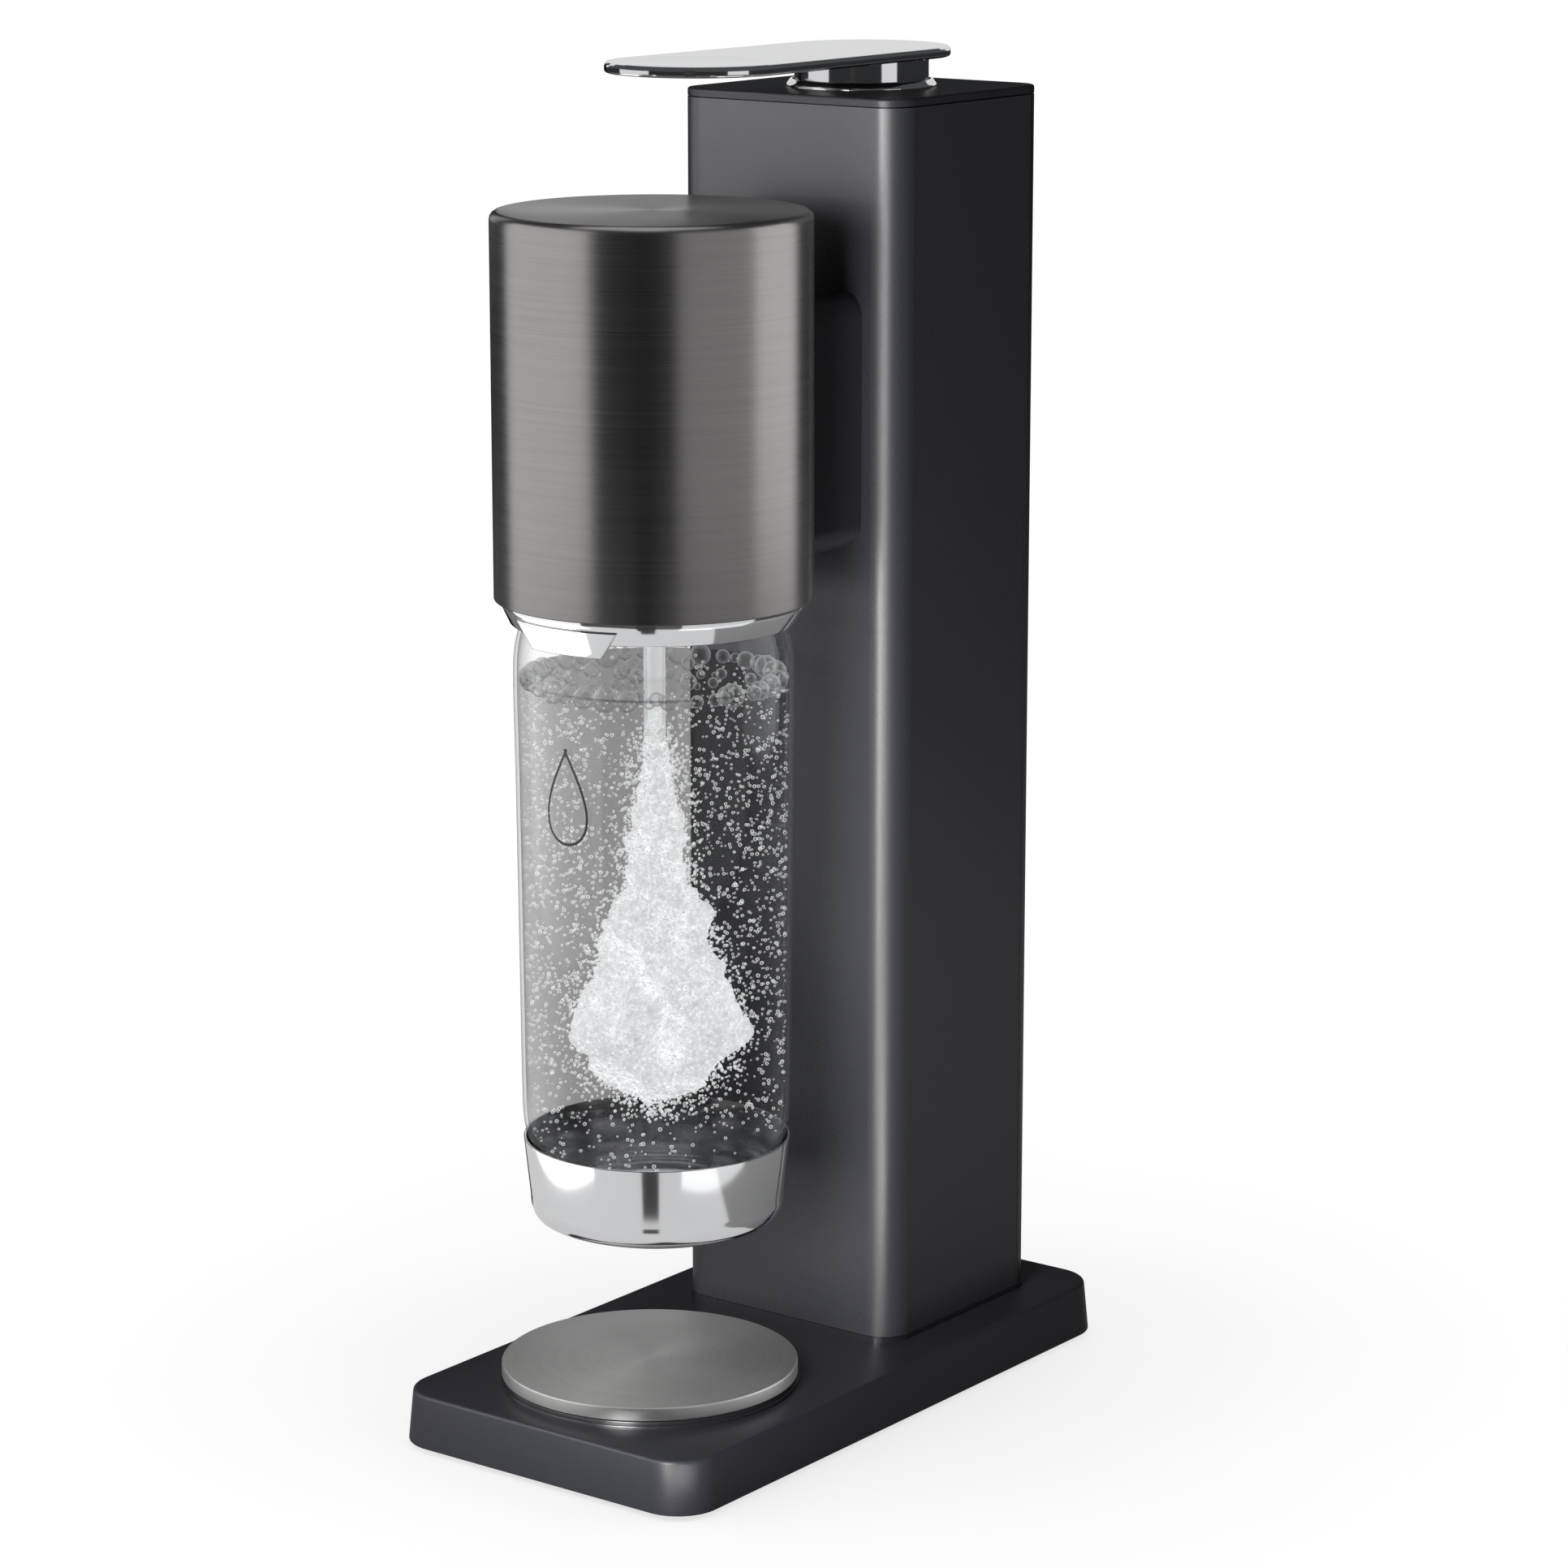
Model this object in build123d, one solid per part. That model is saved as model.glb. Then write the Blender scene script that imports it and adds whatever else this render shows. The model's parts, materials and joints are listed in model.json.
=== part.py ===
"""A counter-top soda carbonator with a hand lever, as separate pieces.

Frame: +Z up, the front faces -Y, +X is to the right seen from the front. The origin lies on the
surface it stands on, under the middle of the base. Millimetres.

From below: rubber feet and a ballasted base, with a lift-off steel disc at the front. Behind it a
square column houses a screw-in gas cylinder and closes with a pull-off back cover. A neck holds the
round head in front of the column. In the head a nozzle carriage tilts on two pivot pins with the
bottle hanging in it. On top a flat lever rocks on a pin and presses the cylinder's valve open.
"""

import math
import os

from build123d import *

# ---- fits, all clearances are gaps between two faces
GAP = 0.1            # still pieces that face each other
RUN = 0.05           # radial clearance of a shaft that turns or slides in its bore
SLIDE_GAP = 0.4      # moving panels and skirts
SEAM = 0.4           # shadow line under the cap

# ---- bottle
BOTTLE_R = 43.15     # widest, under the shoulder
BOTTLE_FOOT_R = 41.9     # just above the cup
BOTTLE_WAIST_R = 40.4    # where it enters the cup
BOTTLE_SEAT_R = 36.5     # bottom, inside the cup
BOTTLE_BODY_H = 177.0    # bottom of the cup to the start of the shoulder
SHOULDER_H = 55.5
NECK_R = 17.0        # root of the shoulder
NECK_H = 29.0
NECK_WALL = 2.4
FINISH_R = 16.5      # threaded part of the neck
THREAD_H = 1.4
NECK_FLANGE_R = 20.0
NECK_FLANGE_T = 2.5
BOTTLE_WALL = 1.2
# shoulder outline: share of the way from neck radius to bottle radius, share of the height
SHOULDER = ((1.0, 0.0), (0.94, 0.18), (0.80, 0.35), (0.59, 0.55), (0.325, 0.75), (0.096, 0.91), (0.0, 1.0))
CUP_R = 41.65        # steel cup at its rim
CUP_LOW_R = 39.7     # cup where its bottom rounds in
CUP_BOTTOM_R = 35.5
CUP_H = 26.8
CUP_LOW_H = 7.5
CUP_WALL = 0.8

# ---- drip disc and its seat
DISC_R = 46.6
DISC_T = 4.3
DISC_WALL = 1.2
DISC_FORWARD = 4.4   # disc centre ahead of the bottle axis
SEAT_STEP_H = 1.2
SEAT_STEPS = 2
SEAT_STEP_OUT = 0.6
SEAT_SINK = 1.0      # spigot of the seat in the base
BOTTLE_CLEAR = 46.0  # under the hanging bottle, down to the disc

# ---- head
HEAD_ROOM = 5.65     # sleeve outside the bottle's widest radius
SLEEVE_WALL = 1.2
SLEEVE_EDGE_R = 2.5
HEAD_OVER_SHOULDER = 19.9    # sleeve's lower edge above the start of the shoulder
HEAD_TOP_ROOM = 53.0     # sleeve's top above the bottle's mouth
HEAD_GAP = 17.0      # between sleeve and column

# ---- chrome collar at the bottom of the head
COLLAR_NEST = 1.0    # inside the sleeve
COLLAR_RISE = 0.6    # above the sleeve's lower edge
COLLAR_STRAIGHT = 1.6    # of it that shows before the cone
COLLAR_DROP = 7.3    # below the sleeve's lower edge
COLLAR_TAPER = 2.7   # radius lost down the cone
COLLAR_WALL = 1.3
COLLAR_LEDGE_T = 1.5
LIP_DROP = 11.3
LIP_TOP = 2.9        # its top below the sleeve's lower edge
LIP_TAPER = 2.2
LIP_HALF_DEG = 23.5
LIP_SIDE_DEG = 4.5   # how far each side slants in
LIP_T = 2.2

# ---- tilting carriage
PIVOT_RISE = 5.6     # pivot axis above the sleeve's lower edge
PIVOT_PIN_R = 2.0
PIVOT_BOSS_R = 4.4
BELL_ROOM = 1.4      # around the bottle
BELL_WALL = 3.0
BELL_ROOF_T = 5.0
GASKET_T = 3.0
CORE_R = 6.9
CORE_FLANGE_R = 8.6
NUT_AF = 17.0
NUT_T = 5.0
TUBE_R = 3.35
TUBE_BORE_R = 2.2
TUBE_DROP = 111.0    # tube end below the bottle's mouth
TIP_H = 6.0
TIP_BORE_R = 0.6
RELIEF_X = 15.0
RELIEF_R = 4.2
RELIEF_H = 12.0
POPPET_R = 1.9
POST_Y = -13.0
POST_W = 8.0
POST_D = 5.0
POST_H = 21.0
SNAP_CLEAR = 1.5     # leaf over the post, which rises a little as the carriage tilts
SNAP_T = 0.6
SNAP_W = 7.0
SNAP_L = 16.0
SNAP_FLAT = 7.0
SNAP_BACK = 3.2      # dip behind the post
SNAP_LIFT = 3.0

# ---- frame inside the head
CHEEK_T = 3.0
FRAME_WALL = 2.6
FRAME_GAP = 0.4      # to the sleeve
FRAME_TOP_T = 3.0
FRAME_TOP_ROOM = 9.8     # between the frame's top plate and the sleeve's top
FRAME_BACK_DEG = 40.0
STUD_R = 2.0
STUD_RING_R = 32.0
STUD_COUNT = 3

# ---- neck
NECK_BOX_W = 60.0
NECK_BOX_H = 80.5
NECK_BOX_R = 8.0
NECK_BOX_RISE = 8.6  # above the sleeve's lower edge
NECK_SKIN = 2.2
BRACKET_W = 50.0
BRACKET_H = 70.0
BRACKET_WALL = 3.5
BRACKET_FLANGE = 6.0     # how far its plate stands out behind the column's front
BRACKET_PLATE_T = 3.0
BRACKET_BOSS_R = 4.6
BOLT_EDGE = 6.0      # bolt to the bracket's outer faces
SCREW_R = 1.5
SCREW_HEAD_R = 2.8
SCREW_HEAD_T = 2.0

# ---- gas cylinder and what rides above it
GAS_R = 30.0
GAS_H = 324.0        # foot to top of neck
GAS_WALL = 3.0
GAS_NECK_R = 13.0
GAS_NECK_H = 11.0
GAS_SHOULDER_H = 30.0
GAS_EDGE_R = 6.0
VALVE_R = 13.0
VALVE_H = 10.0
NOSE_R = 8.0
NOSE_H = 12.0
VALVE_GAP = 6.0      # valve body to manifold
STEM_R = 5.9
PIN_R = 2.0
MANIFOLD_W = 36.0
MANIFOLD_D = 30.0
MANIFOLD_H = 30.0
CHAMBER_R = 5.0
SEAL_T = 1.0
BRIDGE_T = 3.0
BRIDGE_DROP = 18.5   # bridge top under the column shell's top
PEDESTAL_MIN = 2.0
SEAT_CUP_WALL = 3.0
SEAT_CUP_LIP = 4.0

# ---- column
SIDE_ROOM = 12.75    # gas cylinder to the column's outer side
DEPTH_ROOM = 10.5    # gas cylinder to the column's outer front and back
COLUMN_R = 9.5
COLUMN_WALL = 2.0
HEAD_DROP = 27.5     # head's top under the column shell's top
PLINTH_H = 1.6
PLINTH_OUT = 0.5
CAP_T = 2.5
CAP_EDGE_R = 0.8
SKIRT_H = 5.0
SKIRT_T = 1.6
RAIL_T = 2.5
RAIL_GAP = 2.2       # rail to the column wall
RAIL_END = 10.0      # rail's edges in from the column's front and back faces
RAIL_FOOT_H = 9.0
RAIL_FOOT_D = 12.0
RAIL_FOOT_W = 8.0
COVER_TAB_L = 9.0
COVER_TAB_H = 16.0
COVER_TAB_T = 1.3

# ---- base
FOOT_H = 1.5
FOOT_R = 7.0
FOOT_INSET = 17.0
BASE_H = 17.0
BASE_DRAFT = 1.25    # each side, top to bottom
BASE_CORNER_R = 13.0
BASE_EDGE_R = 0.9
BASE_WALL = 2.4
BASE_FRONT = 11.1    # ahead of the sleeve
BASE_SIDE = 15.25    # beside the column
BASE_BACK = 18.3     # behind the column
DISC_MARGIN = 8.9    # base ahead of the disc, at least
FLOOR_T = 2.0
BALLAST_T = 4.0
BOLT_R = 2.0
BOLT_HEAD_R = 3.6
BOLT_HEAD_T = 2.4

# ---- lever
LEVER_T = 3.3
LEVER_FRONT_R = 28.0
LEVER_BACK_R = 27.0
LEVER_REACH = 84.1   # front end's centre ahead of the column's centre
LEVER_TAIL = 1.8     # rear end's centre behind it
LEVER_EDGE_R = 1.3
SCOOP_R = 22.5
SCOOP_FORWARD = 87.0
SCOOP_DEPTH = 1.1
TURRET_R = 21.2
TURRET_WALL = 2.2
TURRET_ROOF = 2.9
TURRET_SKIRT = 7.4   # below the cap's top
LEVER_GAP = 9.2      # lever's underside above the cap
FLANGE_CLEAR = 0.7
FLANGE_H = 2.3
FLANGE_OUT = 1.8
OPENING_CLEAR = 1.2
ROCK_BACK = 12.0     # rocker pin behind the column's centre
ROCK_PIN_R = 2.5
EAR_IN = 5.0
EAR_T = 3.0
EAR_HALF = 3.6
LUG_GAP = 0.4
LUG_T = 3.0
CAM_R = 3.0
CAM_W = 8.0
ROD_R = 4.0
ROD_HEAD_R = 6.5
ROD_HEAD_T = 3.0
ROD_TOP = 6.5        # rod's top below the rocker pin
BUSH_R = 6.0
BUSH_FLANGE_R = 7.2
BUSH_FLANGE_T = 1.4

# ---- gas hose
HOSE_R = 2.5
BARB_R = 1.6
BARB_COLLAR_R = 2.6
BARB_BORE_R = 0.8
BARB_L = 8.0
GALLERY_X = 37.0     # hose joint on the cheek, from the middle
GALLERY_W = 9.0
GALLERY_H = 12.0
GALLERY_RISE = 39.0  # above the pivot
ELBOW_OUT = 8.7      # hose's drop ahead of the manifold
ELBOW_DROP = 10.0
PORT_DROP = 3.0      # gas port below the valve pin's top

# ==== places worked out from the sizes above
base_z = FOOT_H
deck_z = base_z + BASE_H
disc_bottom = deck_z + SEAT_STEP_H * SEAT_STEPS + GAP * 3
disc_top = disc_bottom + DISC_T
bottle_z = disc_top + BOTTLE_CLEAR
shoulder_z = bottle_z + BOTTLE_BODY_H
neck_z = shoulder_z + SHOULDER_H
mouth_z = neck_z + NECK_H
head_z = shoulder_z + HEAD_OVER_SHOULDER
head_top = mouth_z + HEAD_TOP_ROOM
pivot_z = head_z + PIVOT_RISE
head_r = BOTTLE_R + HEAD_ROOM
sleeve_in = head_r - SLEEVE_WALL
collar_r = sleeve_in - COLLAR_NEST

valve_stack = VALVE_H + VALVE_GAP + MANIFOLD_H + BRIDGE_T + BRIDGE_DROP
shell_top = max(head_top + HEAD_DROP, deck_z + PEDESTAL_MIN + GAS_H + valve_stack)
bridge_top = shell_top - BRIDGE_DROP
manifold_top = bridge_top - BRIDGE_T
manifold_z = manifold_top - MANIFOLD_H
valve_z = manifold_z - VALVE_GAP - VALVE_H
gas_z = valve_z - GAS_H
nose_top = valve_z + VALVE_H + NOSE_H
cap_z = shell_top + SEAM
cap_top = cap_z + CAP_T
rock_z = cap_top + GAP
lever_z = cap_top + LEVER_GAP
rod_top = rock_z - ROD_TOP
pin_top = manifold_z + MANIFOLD_H * 0.63

column_w = 2 * (GAS_R + SIDE_ROOM)
column_d = 2 * (GAS_R + DEPTH_ROOM)
base_w = max(column_w + 2 * BASE_SIDE, 2 * (DISC_R + DISC_MARGIN))
reach = max(2 * head_r + BASE_FRONT, head_r + DISC_FORWARD + DISC_R + DISC_MARGIN)
base_l = reach + HEAD_GAP + column_d + BASE_BACK
column_back = base_l / 2 - BASE_BACK
column_front = column_back - column_d
column_y = column_front + column_d / 2
head_y = column_front - HEAD_GAP - head_r
disc_y = head_y - DISC_FORWARD
split_y = column_back - COLUMN_R     # where the shell ends and the back cover begins
plinth_top = deck_z + PLINTH_H
neck_box_z = head_z + NECK_BOX_RISE + NECK_BOX_H / 2
frame_r = sleeve_in - FRAME_GAP
frame_in = frame_r - FRAME_WALL
frame_top = head_top - SLEEVE_WALL - FRAME_TOP_ROOM
frame_plate_z = frame_top - FRAME_TOP_T
roof_z = mouth_z + GASKET_T + GAP
roof_top = roof_z + BELL_ROOF_T
rail_out = column_w / 2 - COLUMN_WALL - RAIL_GAP
rail_in = rail_out - RAIL_T
gallery_z = pivot_z + GALLERY_RISE
port_z = pin_top - PORT_DROP


def bar(width, depth, radius, z0, z1, x=0.0, y=0.0):
    """Upright bar with a rounded rectangular section."""
    return Pos(x, y, z0) * extrude(RectangleRounded(width, depth, radius), z1 - z0)


def box(x0, x1, y0, y1, z0, z1):
    return Pos((x0 + x1) / 2, (y0 + y1) / 2, (z0 + z1) / 2) * Box(x1 - x0, y1 - y0, z1 - z0)


def rod(radius, z0, z1, x=0.0, y=0.0):
    """Upright cylinder."""
    return Pos(x, y, (z0 + z1) / 2) * Cylinder(radius, z1 - z0)


def tube(outer, inner, z0, z1, x=0.0, y=0.0):
    return rod(outer, z0, z1, x, y) - rod(inner, z0 - 1, z1 + 1, x, y)


def along_x(radius, x0, x1, y, z):
    """Cylinder lying along X."""
    return Pos((x0 + x1) / 2, y, z) * Rot(0, 90, 0) * Cylinder(radius, x1 - x0)


def along_y(radius, y0, y1, x, z):
    """Cylinder lying along Y."""
    return Pos(x, (y0 + y1) / 2, z) * Rot(90, 0, 0) * Cylinder(radius, y1 - y0)


def turned(points, y=0.0, curve=()):
    """Solid of revolution about the vertical line x = 0 at this y, from (radius, z) corners.

    curve names pairs (first, last) of corners that a smooth line joins instead of straight ones.
    """
    starts = {first: last for first, last in curve}
    edges = []
    i = 0
    corners = [Vector(r, 0, z) for r, z in points]
    while i < len(corners):
        if i in starts:
            edges.append(Spline(corners[i : starts[i] + 1]))
            i = starts[i]
            continue
        following = corners[(i + 1) % len(corners)]
        if (following - corners[i]).length > 1e-6:
            edges.append(Line(corners[i], following))
        i += 1
    face = make_face(edges)
    return Pos(0, y, 0) * revolve(face, Axis.Z)


def coil(radius, wire_r, z0, z1, turns, x=0.0, y=0.0):
    """Compression spring."""
    height = z1 - z0 - 2 * wire_r
    path = Helix(height / turns, height, radius)
    section = Plane(origin=path @ 0, z_dir=path % 0) * Circle(wire_r)
    return Pos(x, y, z0 + wire_r) * sweep(section, path=path, is_frenet=True)


def hexagon(across_flats, z0, z1, x=0.0, y=0.0):
    return Pos(x, y, z0) * extrude(RegularPolygon(across_flats / 2, 6, major_radius=False), z1 - z0)


def mirrored(shape):
    """The shape and its image across the middle plane."""
    return Compound(children=[*shape.solids(), *mirror(shape, about=Plane.YZ).solids()])


def on_circle(radius, deg, y):
    """Point on a circle about (0, y), seen from above, deg counted from +X."""
    turn = math.radians(deg)
    return radius * math.cos(turn), y + radius * math.sin(turn)


def corners(half_x, half_y, y=0.0):
    return [(sx * half_x, y + sy * half_y) for sx in (-1, 1) for sy in (-1, 1)]


def group(shapes):
    return Compound(children=[solid for shape in shapes for solid in shape.solids()])


def shoulder(extra, z_from=None):
    """(radius, z) points up the bottle's shoulder, moved out by extra, from height z_from."""
    points = [
        (NECK_R + (BOTTLE_R - NECK_R) * f + extra, shoulder_z + SHOULDER_H * g) for f, g in SHOULDER
    ]
    if z_from is None:
        return points
    for (r0, z0), (r1, z1) in zip(points, points[1:]):
        if z0 <= z_from < z1:
            start = (r0 + (r1 - r0) * (z_from - z0) / (z1 - z0), z_from)
            return [start] + [p for p in points if p[1] > z_from + 2.0]
    return points


# ---------------------------------------------------------------- base
def foot_places():
    return corners(base_w / 2 - FOOT_INSET, base_l / 2 - FOOT_INSET)


def bolt_places():
    """Where the column's rails are bolted down through the base."""
    half_y = column_d / 2 - RAIL_END - RAIL_FOOT_D / 2
    return corners(rail_in - RAIL_FOOT_W / 2, half_y, column_y)


def base_outline(extra_in, z0, z1):
    """Drafted block of the base, moved in by extra_in on every side."""
    layers = []
    for z in (z0, z1):
        out = BASE_DRAFT * (deck_z - z) / BASE_H - extra_in
        radius = max(BASE_CORNER_R + out, 1.0)
        layers.append(Pos(0, 0, z) * RectangleRounded(base_w + 2 * out, base_l + 2 * out, radius))
    return loft(layers)


def base_housing():
    body = base_outline(0, base_z, deck_z)
    top_edges = body.edges().filter_by_position(Axis.Z, deck_z - 0.01, deck_z + 0.01)
    body = fillet(top_edges, BASE_EDGE_R)
    body -= base_outline(BASE_WALL, base_z - 1, deck_z - BASE_WALL)
    for x, y in foot_places():
        body += rod(FOOT_R - 1.5, base_z + FLOOR_T + GAP, deck_z - BASE_WALL + 0.5, x, y)
        body -= rod(SCREW_R, base_z, deck_z - BASE_WALL - 1, x, y)
    body -= rod(DISC_R - DISC_WALL - 6, deck_z - SEAT_SINK, deck_z + 1, 0, disc_y)
    for x, y in bolt_places():
        body += rod(BOLT_HEAD_R + 2, base_z + FLOOR_T + GAP, deck_z - BASE_WALL + 0.5, x, y)
        body -= rod(BOLT_R + GAP, base_z, deck_z + 1, x, y)
    return body


def floor_plate():
    plate = base_outline(BASE_WALL + SLIDE_GAP / 2, base_z, base_z + FLOOR_T)
    for x, y in foot_places():
        plate -= rod(SCREW_R + GAP, 0, base_z + FLOOR_T + 1, x, y)
    for x, y in bolt_places():
        plate -= rod(BOLT_HEAD_R + GAP, 0, base_z + FLOOR_T + 1, x, y)
    return plate


def ballast_plate():
    """Steel plate that keeps the machine from tipping forward."""
    inset = FOOT_INSET + FOOT_R + 2
    width, length = base_w - 2 * inset, base_l - 2 * inset
    z0 = base_z + FLOOR_T + GAP
    plate = bar(width, length, 4, z0, z0 + BALLAST_T)
    for x, y in bolt_places():
        plate -= rod(BOLT_HEAD_R + 3, z0 - 1, z0 + BALLAST_T + 1, x, y)
    return plate


def feet():
    ring = [rod(FOOT_R, 0, FOOT_H, x, y) - rod(SCREW_HEAD_R, -1, FOOT_H + 1, x, y) for x, y in foot_places()]
    return group(ring)


def base_screws():
    """One in the middle of each foot, from the floor plate up into the housing's post."""
    made = []
    for x, y in foot_places():
        head = rod(SCREW_HEAD_R - GAP, base_z - 1.0, base_z, x, y)
        made.append(head + rod(SCREW_R - GAP, base_z, base_z + 9, x, y))
    return group(made)


def column_bolts():
    made = []
    for x, y in bolt_places():
        shank = rod(BOLT_R, base_z + FLOOR_T, deck_z + RAIL_FOOT_H - 1.5, x, y)
        made.append(shank + rod(BOLT_HEAD_R, base_z + FLOOR_T + GAP - BOLT_HEAD_T, base_z + FLOOR_T, x, y))
    return group(made)


def disc_seat():
    """Black stepped ring that the drip disc stands on."""
    body = rod(DISC_R - DISC_WALL - 6 - GAP, deck_z - SEAT_SINK + GAP, deck_z, 0, disc_y)
    for step in range(SEAT_STEPS):
        radius = DISC_R - SEAT_STEP_OUT * (step - 0.5)
        z0 = deck_z + SEAT_STEP_H * step
        body += rod(radius, z0, z0 + SEAT_STEP_H, 0, disc_y)
    body += rod(DISC_R - DISC_WALL - SLIDE_GAP, deck_z, disc_top - DISC_WALL - GAP, 0, disc_y)
    return body


def drip_disc():
    disc = rod(DISC_R, disc_bottom, disc_top, 0, disc_y)
    disc = fillet(disc.edges().filter_by(GeomType.CIRCLE), 0.5)
    return disc - rod(DISC_R - DISC_WALL, disc_bottom - 1, disc_top - DISC_WALL, 0, disc_y)


# ---------------------------------------------------------------- column
def column_plinth():
    outer = bar(column_w + 2 * PLINTH_OUT, column_d + 2 * PLINTH_OUT, COLUMN_R + PLINTH_OUT,
                deck_z, plinth_top - GAP, 0, column_y)
    inside = COLUMN_WALL + 1.0
    return outer - bar(column_w - 2 * inside, column_d - 2 * inside, COLUMN_R - inside + 0.5,
                       deck_z - 1, plinth_top + 1, 0, column_y)


def column_walls():
    """The whole column wall, which the shell and the back cover share."""
    outer = bar(column_w, column_d, COLUMN_R, plinth_top, shell_top, 0, column_y)
    return outer - bar(column_w - 2 * COLUMN_WALL, column_d - 2 * COLUMN_WALL, COLUMN_R - COLUMN_WALL,
                       plinth_top - 1, shell_top + 1, 0, column_y)


def bracket_block(grow, y0, y1):
    """Rectangular bar through the neck, grown on every side."""
    half_w, half_h = BRACKET_W / 2 + grow, BRACKET_H / 2 + grow
    return box(-half_w, half_w, y0, y1, neck_box_z - half_h, neck_box_z + half_h)


def column_shell():
    shell = column_walls() - box(-column_w, column_w, split_y, column_back + 5, 0, shell_top + 5)
    return shell - bracket_block(GAP, column_front - 5, column_front + COLUMN_WALL + 1)


def back_cover():
    cover = column_walls() - box(-column_w, column_w, column_front - 5, split_y + SLIDE_GAP, 0, shell_top + 5)
    tab_out = column_w / 2 - COLUMN_WALL - SLIDE_GAP
    joint_y = split_y + SLIDE_GAP
    span = shell_top - plinth_top
    half = COVER_TAB_H / 2
    for share in (0.12, 0.5, 0.88):
        z = plinth_top + span * share
        for side in (-1, 1):
            low, high = sorted((side * (tab_out - COVER_TAB_T), side * tab_out))
            cover += box(low, high, joint_y - COVER_TAB_L, joint_y + 4, z - half, z + half)
            low, high = sorted((side * (tab_out - COVER_TAB_T), side * (tab_out + SLIDE_GAP + 0.5)))
            cover += box(low, high, joint_y + 1, joint_y + 4, z - half, z + half)
    return cover


def cap_screw_places():
    return corners(rail_in - 6, column_d / 2 - RAIL_END - 5, column_y)


def column_cap():
    cap = bar(column_w, column_d, COLUMN_R, cap_z, cap_top, 0, column_y)
    cap = fillet(cap.edges().filter_by_position(Axis.Z, cap_top - 0.01, cap_top + 0.01), CAP_EDGE_R)
    inset = COLUMN_WALL + SLIDE_GAP
    skirt = bar(column_w - 2 * inset, column_d - 2 * inset, COLUMN_R - inset, cap_z - SKIRT_H, cap_z,
                0, column_y)
    inset += SKIRT_T
    skirt -= bar(column_w - 2 * inset, column_d - 2 * inset, COLUMN_R - inset, 0, cap_top, 0, column_y)
    cap += skirt
    for x, y in cap_screw_places():
        cap += rod(SCREW_R + 2.2, bridge_top + GAP, cap_z + 0.5, x, y)
        cap -= rod(SCREW_R - GAP, bridge_top, bridge_top + 12, x, y)
    return cap - rod(TURRET_R + OPENING_CLEAR, cap_z - SKIRT_H - 1, cap_top + 1, 0, column_y)


def cap_screws():
    made = []
    for x, y in cap_screw_places():
        head = rod(SCREW_HEAD_R, manifold_top - SCREW_HEAD_T, manifold_top, x, y)
        made.append(head + rod(SCREW_R - GAP * 2, manifold_top, bridge_top + 9, x, y))
    return group(made)


def side_rail():
    """Right-hand frame plate of the column, with two feet that the base bolts enter."""
    y0, y1 = column_front + RAIL_END, column_back - RAIL_END
    rail = box(rail_in, rail_out, y0, y1, deck_z + GAP, manifold_top - GAP)
    for y in (y0 + RAIL_FOOT_D / 2, y1 - RAIL_FOOT_D / 2):
        half = RAIL_FOOT_D / 2
        rail += box(rail_in - RAIL_FOOT_W, rail_in, y - half, y + half, deck_z + GAP, deck_z + RAIL_FOOT_H)
        rail -= rod(BOLT_R + GAP / 2, deck_z - 1, deck_z + RAIL_FOOT_H + 1, rail_in - RAIL_FOOT_W / 2, y)
    for share in (0.25, 0.75):
        z = deck_z + (manifold_top - deck_z) * share
        rail -= along_x(14, rail_in - 1, rail_out + 1, column_y, z)
    return rail


def side_rail_left():
    return mirror(side_rail(), about=Plane.YZ)


def cylinder_seat():
    """Cup on the deck that steadies the foot of the gas cylinder."""
    floor = gas_z - GAP * 2
    body = rod(GAS_R + SLIDE_GAP + SEAT_CUP_WALL, deck_z + GAP, gas_z + SEAT_CUP_LIP, 0, column_y)
    return body - rod(GAS_R + SLIDE_GAP, floor, gas_z + SEAT_CUP_LIP + 1, 0, column_y)


def top_bridge():
    """Plate over the valve, with the two ears that hold the rocker pin."""
    y0, y1 = column_front + RAIL_END, column_back - RAIL_END
    plate = box(-rail_out, rail_out, y0, y1, manifold_top, bridge_top)
    pin_y = column_y + ROCK_BACK
    for side in (-1, 1):
        low, high = sorted((side * EAR_IN, side * (EAR_IN + EAR_T)))
        plate += box(low, high, pin_y - EAR_HALF, pin_y + EAR_HALF, bridge_top, rock_z)
        plate += along_x(EAR_HALF, low, high, pin_y, rock_z)
    plate -= along_x(ROCK_PIN_R + 0.01, -20, 20, pin_y, rock_z)
    plate -= rod(BUSH_R + 0.02, manifold_top - 1, bridge_top + 1, 0, column_y)
    for x, y in cap_screw_places():
        plate -= rod(SCREW_R + GAP, manifold_top - 1, bridge_top + 1, x, y)
    for x, y in manifold_screw_places():
        plate -= rod(SCREW_R + GAP, manifold_top - 1, bridge_top + 1, x, y)
    return plate


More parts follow.
